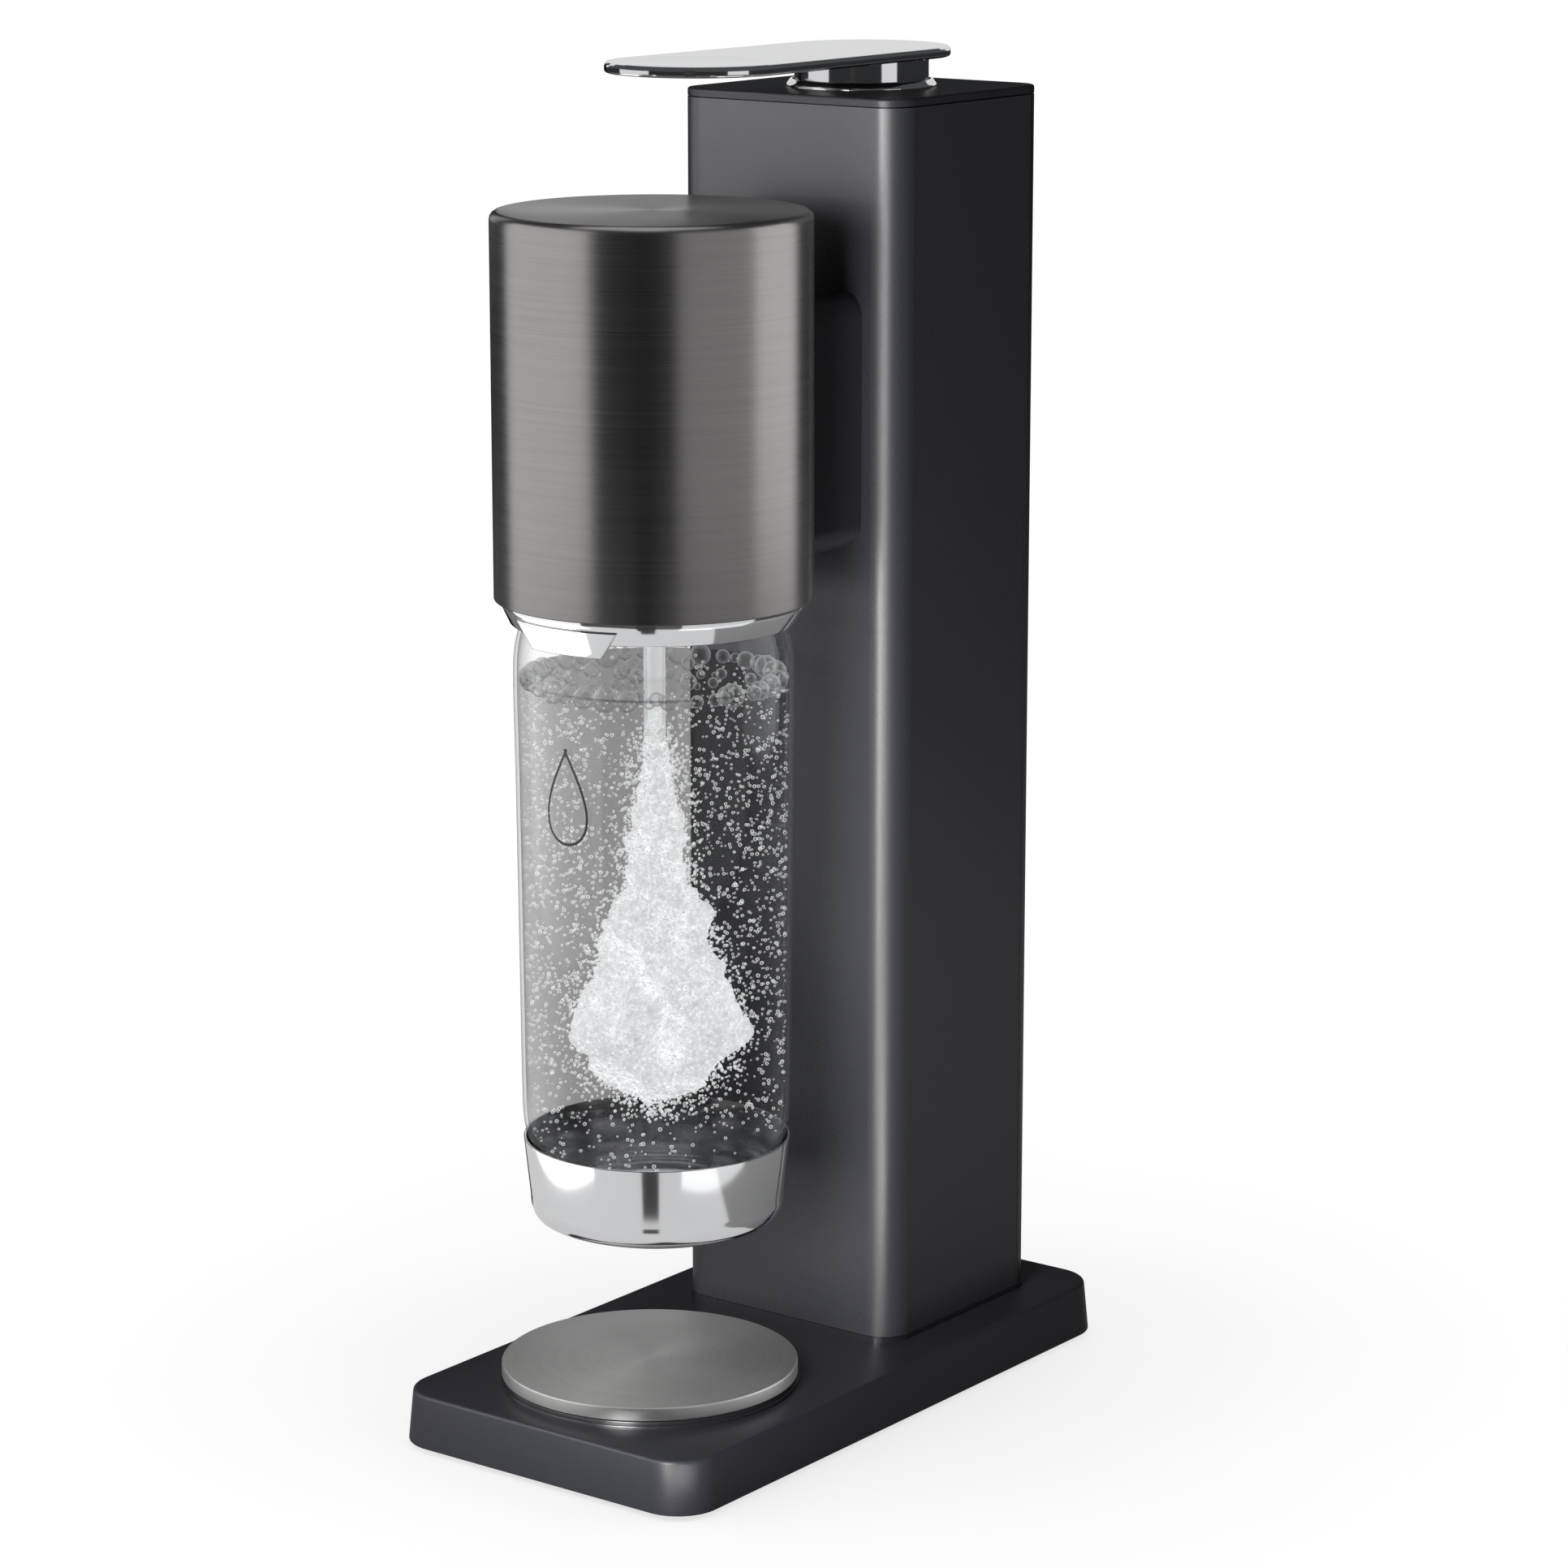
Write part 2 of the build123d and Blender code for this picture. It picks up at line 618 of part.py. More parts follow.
# ---------------------------------------------------------------- gas
def gas_cylinder():
    wall = GAS_WALL
    neck_z0 = gas_z + GAS_H - GAS_NECK_H
    side_top = neck_z0 - GAS_SHOULDER_H
    bend = GAS_EDGE_R
    outline = [
        (0, gas_z),
        (GAS_R - bend, gas_z),
        (GAS_R - bend * 0.29, gas_z + bend * 0.29),
        (GAS_R, gas_z + bend),
        (GAS_R, side_top),
        (GAS_R - 1.5, side_top + GAS_SHOULDER_H * 0.3),
        (GAS_R - 6.5, side_top + GAS_SHOULDER_H * 0.65),
        (GAS_NECK_R, neck_z0),
        (GAS_NECK_R, gas_z + GAS_H),
        (STEM_R + GAP, gas_z + GAS_H),
        (STEM_R + GAP, neck_z0 - 2),
        (GAS_R - 9.5, side_top + GAS_SHOULDER_H * 0.55),
        (GAS_R - wall, side_top - 2),
        (GAS_R - wall, gas_z + bend + wall),
        (GAS_R - bend - wall, gas_z + wall),
        (0, gas_z + wall),
    ]
    return turned(outline, column_y, curve=((1, 3), (4, 7)))


def cylinder_valve():
    hex_body = hexagon(2 * VALVE_R - 3, valve_z + GAP, valve_z + VALVE_H, 0, column_y)
    body = hex_body + rod(NOSE_R, valve_z + VALVE_H, nose_top, 0, column_y)
    body += rod(STEM_R, valve_z - 14, valve_z + GAP, 0, column_y)
    return body - rod(PIN_R + RUN, valve_z - 4, nose_top + 1, 0, column_y)


def valve_pin():
    return rod(PIN_R, valve_z, pin_top, 0, column_y)


def valve_seal():
    return tube(NOSE_R - GAP, CHAMBER_R + GAP, nose_top + GAP / 2, nose_top + SEAL_T, 0, column_y)


def manifold_screw_places():
    return [(-13.0, column_y), (13.0, column_y)]


def manifold():
    body = bar(MANIFOLD_W, MANIFOLD_D, 4, manifold_z, manifold_top - GAP, 0, column_y)
    body -= rod(NOSE_R + RUN, manifold_z - 1, nose_top + SEAL_T + GAP / 2, 0, column_y)
    body -= rod(CHAMBER_R, manifold_z, manifold_top - 6, 0, column_y)
    body -= rod(ROD_R + RUN, manifold_z, manifold_top, 0, column_y)
    body -= along_y(BARB_R + GAP / 2, column_y - MANIFOLD_D, column_y, 0, port_z)
    for x, y in manifold_screw_places():
        body -= rod(SCREW_R - GAP, manifold_top - 9, manifold_top + 1, x, y)
    return body


def manifold_screws():
    made = []
    for x, y in manifold_screw_places():
        head = rod(SCREW_HEAD_R, bridge_top + GAP, bridge_top + GAP + SCREW_HEAD_T, x, y)
        made.append(head + rod(SCREW_R - GAP * 2, manifold_top - 8, bridge_top + GAP, x, y))
    return group(made)


def rod_bush():
    body = rod(BUSH_R, manifold_top + GAP, bridge_top, 0, column_y)
    body += rod(BUSH_FLANGE_R, bridge_top + GAP / 2, bridge_top + BUSH_FLANGE_T, 0, column_y)
    body += rod(BUSH_R, bridge_top - 0.5, bridge_top + BUSH_FLANGE_T, 0, column_y)
    return body - rod(ROD_R + RUN, manifold_top - 1, bridge_top + BUSH_FLANGE_T + 1, 0, column_y)


def push_rod():
    stem = rod(ROD_R, pin_top + GAP, rod_top - ROD_HEAD_T, 0, column_y)
    head = rod(ROD_HEAD_R, rod_top - ROD_HEAD_T, rod_top - GAP, 0, column_y)
    return stem + fillet(head.edges().filter_by(GeomType.CIRCLE).sort_by(Axis.Z)[-1:], 0.6)


def rod_spring():
    wire = 0.55
    z0 = bridge_top + BUSH_FLANGE_T + GAP
    return coil(ROD_R + 1.2, wire, z0, rod_top - ROD_HEAD_T - GAP, 5, 0, column_y)


# ---------------------------------------------------------------- lever
def stadium(grow, z0, z1):
    """Lever's outline: a round front end and a slightly smaller round rear end, tangents between."""
    front_r, back_r = LEVER_FRONT_R + grow, LEVER_BACK_R + grow
    front_y, back_y = column_y - LEVER_REACH, column_y + LEVER_TAIL
    lean = math.asin((front_r - back_r) / (back_y - front_y))
    c, s = math.cos(lean), math.sin(lean)
    right_front = (front_r * c, front_y + front_r * s)
    right_back = (back_r * c, back_y + back_r * s)
    left_front, left_back = (-right_front[0], right_front[1]), (-right_back[0], right_back[1])
    edges = [
        Line(right_front, right_back),
        ThreePointArc(right_back, (0, back_y + back_r), left_back),
        Line(left_back, left_front),
        ThreePointArc(left_front, (0, front_y - front_r), right_front),
    ]
    return Pos(0, 0, z0) * extrude(make_face(edges), z1 - z0)


def lever_paddle():
    top = lever_z + LEVER_T
    body = stadium(0, lever_z, top)
    body = fillet(body.edges().filter_by_position(Axis.Z, top - 0.01, top + 0.01), LEVER_EDGE_R)
    body = fillet(body.edges().filter_by_position(Axis.Z, lever_z - 0.01, lever_z + 0.01), LEVER_EDGE_R * 0.6)
    # thumb scoop: deepest at the front, running out to nothing behind
    slope = math.degrees(math.atan2(SCOOP_DEPTH, 2 * SCOOP_R))
    scoop_y = column_y - SCOOP_FORWARD
    wedge = Pos(0, scoop_y + SCOOP_R, top) * Rot(slope, 0, 0)
    wedge *= Pos(0, -2 * SCOOP_R, 10) * Box(4 * SCOOP_R, 4 * SCOOP_R, 20)
    body -= rod(SCOOP_R, lever_z, top + 10, 0, scoop_y) & wedge
    for x, y in lever_screw_places():
        body -= rod(SCREW_R - GAP, lever_z - 1, lever_z + LEVER_T - 1.2, x, y)
    return body


def lever_screw_places():
    ring = TURRET_R - TURRET_WALL - 4.5
    return [on_circle(ring, deg, column_y) for deg in (-150, -90, -30)]


def lever_turret():
    """Chrome cup under the lever, with two lugs for the rocker pin."""
    bottom = cap_top - TURRET_SKIRT
    roof = lever_z - TURRET_ROOF
    body = rod(TURRET_R, bottom, lever_z - GAP / 2, 0, column_y)
    body -= rod(TURRET_R - TURRET_WALL, bottom - 1, roof, 0, column_y)
    pin_y = column_y + ROCK_BACK
    for side in (-1, 1):
        inner = EAR_IN + EAR_T + LUG_GAP
        low, high = sorted((side * inner, side * (inner + LUG_T)))
        body += box(low, high, pin_y - EAR_HALF, pin_y + EAR_HALF, rock_z, roof + 0.5)
        body += along_x(EAR_HALF, low, high, pin_y, rock_z)
    body -= along_x(ROCK_PIN_R + RUN, -TURRET_R + TURRET_WALL + 2, TURRET_R - TURRET_WALL - 2, pin_y, rock_z)
    for x, y in lever_screw_places():
        body -= rod(SCREW_R + GAP, roof - 1, lever_z + 1, x, y)
    return body


def lever_screws():
    roof = lever_z - TURRET_ROOF
    made = []
    for x, y in lever_screw_places():
        head = rod(SCREW_HEAD_R, roof - GAP - SCREW_HEAD_T, roof - GAP, x, y)
        made.append(head + rod(SCREW_R - GAP * 2, roof - GAP, lever_z + LEVER_T - 1.6, x, y))
    return group(made)


def press_cam():
    """Round-nosed finger under the turret that pushes the rod."""
    roof = lever_z - TURRET_ROOF
    half = CAM_W / 2
    body = box(-half, half, column_y - CAM_R, column_y + CAM_R, rod_top + CAM_R, roof - GAP / 2)
    return body + along_x(CAM_R, -half, half, column_y, rod_top + CAM_R)


def rocker_pin():
    half = EAR_IN + EAR_T + LUG_GAP + LUG_T
    return along_x(ROCK_PIN_R, -half, half, column_y + ROCK_BACK, rock_z)


def flange_ring():
    """Chrome ring round the turret, on the cap."""
    inner = TURRET_R + FLANGE_CLEAR
    outline = [
        (inner, cap_top + GAP / 2),
        (inner + FLANGE_OUT, cap_top + GAP / 2),
        (inner + FLANGE_OUT, cap_top + 0.6),
        (inner + FLANGE_OUT * 0.35, cap_top + FLANGE_H),
        (inner, cap_top + FLANGE_H),
    ]
    return turned(outline, column_y)


# ---------------------------------------------------------------- head, still parts
def head_sleeve():
    """Deep-drawn steel cup, open below, with a window at the back for the bracket."""
    cup = rod(head_r, head_z, head_top, 0, head_y)
    cup = fillet(cup.edges().filter_by_position(Axis.Z, head_top - 0.01, head_top + 0.01), SLEEVE_EDGE_R)
    cup -= rod(sleeve_in, head_z - 1, head_top - SLEEVE_WALL, 0, head_y)
    cup -= bracket_block(GAP * 3, head_y + sleeve_in * 0.6, head_y + head_r + 5)
    for x, y in stud_places():
        cup += rod(STUD_R, frame_plate_z - 4.5, head_top - SLEEVE_WALL + 0.4, x, y)
    return cup


def stud_places():
    return [on_circle(STUD_RING_R, 90 + 360 * i / STUD_COUNT, head_y) for i in range(STUD_COUNT)]


def sleeve_nuts():
    made = []
    for x, y in stud_places():
        nut = hexagon(7.0, frame_plate_z - 3.4, frame_plate_z - GAP, x, y)
        made.append(nut - rod(STUD_R + 0.02, 0, head_top, x, y))
    return group(made)


def wedge_at_back(half_deg, z0, z1):
    """Slice of a big cylinder about the head's axis, facing the column."""
    far = 2 * head_r
    a = math.radians(half_deg)
    side = far * math.sin(a), far * math.cos(a)
    outline = Polyline((0, 0), (side[0], side[1]), (0, far * 1.6), (-side[0], side[1]), close=True)
    return Pos(0, head_y, z0) * extrude(make_face(outline), z1 - z0)


def bracket_bolt_places():
    half_w, half_h = BRACKET_W / 2 - BOLT_EDGE, BRACKET_H / 2 - BOLT_EDGE
    return [(sx * half_w, neck_box_z + sz * half_h) for sx in (-1, 1) for sz in (-1, 1)]


def head_frame():
    """Die-cast frame: a top plate, an arched back and two cheeks that carry the pivot pins."""
    body = rod(frame_r, frame_plate_z, frame_top, 0, head_y)
    back = tube(frame_r, frame_in, head_z + NECK_BOX_RISE, frame_plate_z + 0.5, 0, head_y)
    body += back & wedge_at_back(FRAME_BACK_DEG, head_z, frame_top)
    cheek_in = carriage_half() + SLIDE_GAP
    for side in (-1, 1):
        low, high = sorted((side * cheek_in, side * (cheek_in + CHEEK_T)))
        body += box(low, high, head_y - PIVOT_BOSS_R, head_y + PIVOT_BOSS_R, pivot_z, frame_plate_z + 0.5)
        body += along_x(PIVOT_BOSS_R, low, high, head_y, pivot_z)
    body -= along_x(PIVOT_PIN_R + 0.02, -head_r, head_r, head_y, pivot_z)
    # gas gallery in the right-hand cheek, from the hose joint down to the hollow pin
    half = GALLERY_H / 2
    body += box(GALLERY_X - GALLERY_W / 2, cheek_in + CHEEK_T, head_y - PIVOT_BOSS_R, head_y + PIVOT_BOSS_R,
                gallery_z - half, gallery_z + half)
    body -= along_y(BARB_R + GAP / 2, head_y, head_y + PIVOT_BOSS_R + 1, GALLERY_X, gallery_z)
    body -= along_x(BARB_BORE_R, GALLERY_X, cheek_in + CHEEK_T / 2, head_y, gallery_z)
    body -= rod(BARB_BORE_R, pivot_z, gallery_z, cheek_in + CHEEK_T / 2, head_y)
    half_w, half_h = BRACKET_W / 2, BRACKET_H / 2 - BOLT_EDGE - BRACKET_BOSS_R
    body -= box(-half_w, half_w, head_y, head_y + head_r, neck_box_z - half_h, neck_box_z + half_h)
    for x, z in bracket_bolt_places():
        body -= along_y(SCREW_R + GAP, head_y, head_y + head_r, x, z)
    for x, y in stud_places():
        body -= rod(STUD_R + GAP * 2, frame_plate_z - 1, frame_top + 1, x, y)
    return body


def pivot_pins():
    """Headed pins pressed in the cheeks; the carriage turns on their inner ends."""
    cheek_out = carriage_half() + SLIDE_GAP + CHEEK_T
    shank = along_x(PIVOT_PIN_R, carriage_half() - 3.6, cheek_out + GAP, head_y, pivot_z)
    head = along_x(PIVOT_PIN_R + 1.4, cheek_out + GAP / 2, cheek_out + 1.0, head_y, pivot_z)
    gas_way = along_x(BARB_BORE_R, 0, cheek_out - CHEEK_T / 4, head_y, pivot_z)
    return mirrored(shank + head - gas_way)


def neck_cover():
    """Black skin of the neck between column and sleeve."""
    section = RectangleRounded(NECK_BOX_W, NECK_BOX_H, NECK_BOX_R)
    inner = RectangleRounded(NECK_BOX_W - 2 * NECK_SKIN, NECK_BOX_H - 2 * NECK_SKIN, NECK_BOX_R - NECK_SKIN)
    length = HEAD_GAP + head_r
    place = Pos(0, column_front - GAP / 2, neck_box_z) * Rot(90, 0, 0)
    body = place * extrude(section, length) - place * extrude(inner, length)
    return body - rod(head_r + GAP, 0, shell_top, 0, head_y)


def neck_bracket():
    """Aluminium beam through the neck, with a plate inside the column's front wall."""
    inside = column_front + COLUMN_WALL
    y0 = head_y
    y1 = inside + BRACKET_PLATE_T
    body = bracket_block(0, y0, y1) - bracket_block(-BRACKET_WALL, y0 - 1, y1 + 1)
    for x, z in bracket_bolt_places():
        body += along_y(BRACKET_BOSS_R, y0, inside, x, z) & bracket_block(0, y0, inside)
    plate = bracket_block(BRACKET_FLANGE, inside + GAP, y1) - bracket_block(-BRACKET_WALL, inside, y1 + 1)
    body += plate
    body -= rod(frame_r + GAP, 0, shell_top, 0, head_y)
    for x, z in bracket_bolt_places():
        body -= along_y(SCREW_R - GAP, head_y, inside - 4, x, z)
    return body


def bracket_bolts():
    """Screws from inside the head, through the frame's back, into the bracket."""
    made = []
    for x, z in bracket_bolt_places():
        seat = head_y + math.sqrt(frame_in**2 - (abs(x) + SCREW_HEAD_R) ** 2)
        head = along_y(SCREW_HEAD_R, seat - SCREW_HEAD_T, seat - GAP / 2, x, z)
        made.append(head + along_y(SCREW_R - GAP * 2, seat - GAP / 2, head_y + head_r + 6, x, z))
    return group(made)


# ---------------------------------------------------------------- head, tilting parts
def carriage_half():
    """Half the width of the carriage across its pivot bosses."""
    start = shoulder(BELL_ROOM + BELL_WALL, head_z + COLLAR_RISE + GAP / 2)[0][0]
    return math.floor(start * 10 + 1) / 10


def nozzle_bell():
    """Moulded bell over the bottle's shoulder and neck."""
    z0 = head_z + COLLAR_RISE + GAP / 2
    barrel_in = NECK_FLANGE_R + BELL_ROOM
    top = neck_z - 3
    inner = [p for p in shoulder(BELL_ROOM, z0) if p[0] > barrel_in + 1.0 and p[1] < top - 2]
    outer = [(r + BELL_WALL, z) for r, z in inner]
    outline = [*outer, (barrel_in + BELL_WALL, top), (barrel_in + BELL_WALL, roof_top), (0, roof_top),
               (0, roof_z), (barrel_in - 2.4, roof_z), (barrel_in - 2.4, neck_z + 7),
               (barrel_in, neck_z + 6), (barrel_in, top), *reversed(inner)]
    count = len(inner)
    last = len(outline)
    body = turned(outline, head_y, curve=((0, count), (last - count - 1, last - 1)))
    bosses = along_x(PIVOT_BOSS_R, -carriage_half(), carriage_half(), head_y, pivot_z)
    hollow = rod(shoulder(BELL_ROOM + BELL_WALL * 0.5, z0)[0][0], 0, mouth_z, 0, head_y)
    body += bosses - hollow
    for side in (-1, 1):
        low, high = sorted((side * (carriage_half() - 4.0), side * (carriage_half() + 1)))
        body -= along_x(PIVOT_PIN_R + RUN, low, high, head_y, pivot_z)
    body += box(-POST_W / 2, POST_W / 2, head_y + POST_Y - POST_D / 2, head_y + POST_Y + POST_D / 2,
                roof_top - 0.5, roof_top + POST_H)
    body -= rod(CORE_R + GAP, roof_z - 1, roof_top + 1, 0, head_y)
    body -= rod(POPPET_R + 0.4, roof_z - 1, roof_top + 1, -RELIEF_X, head_y)
    return body


def bottle_gasket():
    return tube(FINISH_R + 1.2, CORE_FLANGE_R + GAP * 4, mouth_z + GAP / 2, mouth_z + GASKET_T, 0, head_y)


def nozzle_core():
    body = rod(CORE_FLANGE_R, roof_z - 2.6, roof_z - GAP / 2, 0, head_y)
    body += rod(CORE_R, roof_z - 2.6, roof_top + NUT_T + 2, 0, head_y)
    return body - rod(TUBE_R + 0.02, roof_z - 4, roof_top + 1, 0, head_y)


def core_nut():
    nut = hexagon(NUT_AF, roof_top + GAP / 2, roof_top + NUT_T, 0, head_y)
    return nut - rod(CORE_R + 0.03, 0, head_top, 0, head_y)


def carbonation_tube():
    end_z = mouth_z - TUBE_DROP
    return tube(TUBE_R, TUBE_BORE_R, end_z + TIP_H, roof_top, 0, head_y)


def tube_tip():
    """Jet at the end of the tube, with a spigot inside it."""
    end_z = mouth_z - TUBE_DROP
    outline = [
        (TIP_BORE_R, end_z),
        (TUBE_R - 1.0, end_z),
        (TUBE_R, end_z + 1.6),
        (TUBE_R, end_z + TIP_H - GAP / 2),
        (TUBE_BORE_R - RUN, end_z + TIP_H - GAP / 2),
        (TUBE_BORE_R - RUN, end_z + TIP_H + 6),
        (TIP_BORE_R, end_z + TIP_H + 6),
    ]
    return turned(outline, head_y)


def relief_body():
    z0, z1 = roof_top + GAP / 2, roof_top + RELIEF_H
    body = rod(RELIEF_R, z0, z1, -RELIEF_X, head_y)
    body -= rod(RELIEF_R - 1.2, z0 + 1.5, z1 - 1.4, -RELIEF_X, head_y)
    return body - rod(POPPET_R + RUN, z0 - 1, z1 + 1, -RELIEF_X, head_y)


def relief_poppet():
    """Lifts off its seat when the bottle is at full pressure."""
    z0, z1 = roof_top + GAP / 2, roof_top + RELIEF_H
    body = rod(POPPET_R, z0 + 0.2, z1 + 1.0, -RELIEF_X, head_y)
    return body + rod(POPPET_R + 0.9, z0 + 1.6, z0 + 2.8, -RELIEF_X, head_y)


def relief_spring():
    z0, z1 = roof_top + GAP / 2 + 2.9, roof_top + RELIEF_H - 1.5
    return coil(POPPET_R + 0.48, 0.28, z0, z1, 5, -RELIEF_X, head_y)


def safety_valve():
    """Burst disc housing, beside the relief valve."""
    z0 = roof_top + GAP / 2
    body = rod(RELIEF_R - 0.4, z0, z0 + RELIEF_H - 4, RELIEF_X, head_y)
    body += hexagon(7.0, z0 + 1.0, z0 + 4.5, RELIEF_X, head_y)
    return body - rod(1.2, z0 + 4, z0 + RELIEF_H, RELIEF_X, head_y)


def holder_collar():
    """Chrome collar round the bottle's shoulder, with a finger lip at the front."""
    top, ledge = head_z + COLLAR_RISE, head_z + COLLAR_RISE - COLLAR_LEDGE_T
    cone_top, low = head_z - COLLAR_STRAIGHT, head_z - COLLAR_DROP
    low_r = collar_r - COLLAR_TAPER
    ledge_r = shoulder(BELL_ROOM, top)[0][0] + GAP
    outline = [
        (low_r - 0.5, low),
        (low_r, low + 0.5),
        (collar_r, cone_top),
        (collar_r, top),
        (ledge_r, top),
        (ledge_r, ledge),
        (collar_r - COLLAR_WALL, ledge),
        (collar_r - COLLAR_WALL, cone_top - 0.4),
        (low_r - COLLAR_WALL, low),
    ]
    body = turned(outline, head_y)
    lip_top, lip_low = head_z - LIP_TOP, head_z - LIP_DROP
    lip_top_r, lip_low_r = collar_r - 0.1, collar_r - 0.1 - LIP_TAPER
    lip = turned(
        [
            (lip_low_r - LIP_T, lip_low),
            (lip_low_r - 0.4, lip_low),
            (lip_low_r, lip_low + 0.4),
            (lip_top_r, lip_top - 0.5),
            (lip_top_r - 0.6, lip_top),
            (lip_top_r - LIP_T, lip_top),
        ],
        head_y,
    )
    return body + (lip & lip_wedge(lip_low - 1, lip_top + 1))


def lip_wedge(z0, z1):
    """Narrows the lip from top to bottom, facing the front."""
    layers = []
    for z, deg in ((z0, LIP_HALF_DEG - LIP_SIDE_DEG), (z1, LIP_HALF_DEG + LIP_SIDE_DEG * 0.3)):
        x, y = on_circle(head_r * 1.6, deg - 90, 0)
        outline = Polyline((0, 0), (x, y), (-x, y), close=True)
        layers.append(Pos(0, head_y, z) * make_face(outline))
    return loft(layers)


def hose_barb():
    """Barb on the cheek, pointing back."""
    face = head_y + PIVOT_BOSS_R
    body = along_y(BARB_R, face - 3, face + GAP / 2, GALLERY_X, gallery_z)
    body += along_y(BARB_COLLAR_R, face + GAP / 2, face + 2, GALLERY_X, gallery_z)
    body += along_y(BARB_R, face + 2, face + BARB_L, GALLERY_X, gallery_z)
    return body - along_y(BARB_BORE_R, face - 4, face + BARB_L + 1, GALLERY_X, gallery_z)


def manifold_elbow():
    """Elbow on the manifold's front, its barb pointing down."""
    face = column_y - MANIFOLD_D / 2
    out = face - ELBOW_OUT
    body = along_y(BARB_R, face - GAP / 2, face + 4, 0, port_z)
    body += along_y(BARB_COLLAR_R, out, face - GAP / 2, 0, port_z)
    body += Pos(0, out, port_z) * Sphere(BARB_COLLAR_R)
    body += rod(BARB_COLLAR_R, port_z - 5, port_z, 0, out)
    body += rod(BARB_R, port_z - ELBOW_DROP - 4, port_z - 5, 0, out)
    body -= along_y(BARB_BORE_R, out, face + 5, 0, port_z)
    return body - rod(BARB_BORE_R, port_z - ELBOW_DROP - 5, port_z, 0, out)


def gas_hose():
    """From the manifold's elbow down, forward through the neck and round to the cheek's barb."""
    drop_y = column_y - MANIFOLD_D / 2 - ELBOW_OUT
    start_z = port_z - 5 - GAP
    end_y = head_y + PIVOT_BOSS_R + 2 + GAP
    through_z = neck_box_z + 11
    points = [
        (0, drop_y, start_z),
        (0, drop_y, start_z - 16),
        (4, drop_y - 7, start_z - 32),
        (9, column_front - 4, through_z + 4),
        (14.5, head_y + frame_in - 1, through_z),
        (26, head_y + 31.5, through_z - 3),
        (GALLERY_X - 4, head_y + 25.5, gallery_z + 3),
        (GALLERY_X, head_y + 17, gallery_z),
        (GALLERY_X, end_y, gallery_z),
    ]
    runs = [math.dist(a, b) for a, b in zip(points, points[1:])]
    radii = []
    for i in range(1, len(points) - 1):
        before = Vector(*points[i]) - Vector(*points[i - 1])
        after = Vector(*points[i + 1]) - Vector(*points[i])
        half_turn = math.radians(before.get_angle(after)) / 2
        radii.append(0.45 * min(runs[i - 1], runs[i]) / math.tan(half_turn))
    path = FilletPolyline(*points, radius=radii)
    place = Plane(origin=path @ 0, z_dir=path % 0)
    return sweep(place * Circle(HOSE_R), path=path) - sweep(place * Circle(BARB_R + RUN), path=path)


def snap_spring():
    """Leaf under the frame's top plate whose dip stands over the carriage's post."""
    z1 = frame_plate_z - GAP
    dip_z = roof_top + POST_H + SNAP_CLEAR + SNAP_T
    dip_y = head_y + POST_Y + POST_D / 2 + SNAP_BACK
    points = [
        (dip_y - SNAP_L, z1),
        (dip_y - SNAP_L + SNAP_FLAT, z1),
        (dip_y, dip_z),
        (dip_y + SNAP_LIFT, dip_z + SNAP_LIFT),
    ]
    lower = [(y, z - SNAP_T) for y, z in reversed(points)]
    outline = Polyline(*[(y, z) for y, z in [*points, *lower]], close=True)
    return extrude(Plane.YZ * make_face(outline), SNAP_W / 2, both=True)


# ---------------------------------------------------------------- bottle
def bottle():
    foot = bottle_z + CUP_WALL + GAP
    wall = BOTTLE_WALL
    rise = CUP_H + bottle_z
    shoulder_out = shoulder(0)
    shoulder_in = [(r - wall, z) for r, z in shoulder_out[:-1]] + [(NECK_R - NECK_WALL, neck_z)]
    outline = [
        (0, foot),
        (BOTTLE_SEAT_R - 4, foot),
        (BOTTLE_SEAT_R, foot + 4),
        (BOTTLE_WAIST_R - 0.7, rise - 2),
        (BOTTLE_FOOT_R, rise + 13),
        *shoulder_out,
        (FINISH_R, neck_z + 1),
        (FINISH_R, mouth_z),
        (FINISH_R - NECK_WALL, mouth_z),
        (FINISH_R - NECK_WALL, neck_z + 1),
        *reversed(shoulder_in),
        (BOTTLE_FOOT_R - wall, rise + 13),
        (BOTTLE_WAIST_R - 0.7 - wall, rise - 2),
        (BOTTLE_SEAT_R - wall, foot + 5),
        (BOTTLE_SEAT_R - 4 - wall, foot + wall),
        (0, foot + wall),
    ]
    first = 5
    last = first + len(shoulder_out) - 1
    back = last + 5
    body = turned(outline, head_y, curve=((first, last), (back, back + len(shoulder_in) - 1)))
    flange_z = neck_z + 2
    body += tube(NECK_FLANGE_R, FINISH_R - 0.5, flange_z, flange_z + NECK_FLANGE_T, 0, head_y)
    for z in (flange_z + 8, flange_z + 14.5):
        thread = [(FINISH_R - 0.3, z - 1.6), (FINISH_R + THREAD_H, z - 0.5), (FINISH_R + THREAD_H, z + 0.5),
                  (FINISH_R - 0.3, z + 1.6)]
        body += turned(thread, head_y)
    return body


def bottle_cup():
    """Polished steel cup pressed over the bottle's bottom."""
    z0, low, top = bottle_z, bottle_z + CUP_LOW_H, bottle_z + CUP_H
    wall = CUP_WALL
    outline = [
        (0, z0),
        (CUP_BOTTOM_R, z0),
        (CUP_LOW_R - 1.2, z0 + CUP_LOW_H * 0.36),
        (CUP_LOW_R, low),
        (CUP_R, top - 0.3),
        (CUP_R - 0.3, top),
        (CUP_R - wall, top),
        (CUP_LOW_R - wall, low),
        (CUP_LOW_R - 1.2 - wall, z0 + CUP_LOW_H * 0.36 + wall * 0.5),
        (CUP_BOTTOM_R - wall * 0.5, z0 + wall),
        (0, z0 + wall),
    ]
    return turned(outline, head_y, curve=((1, 3), (7, 9)))


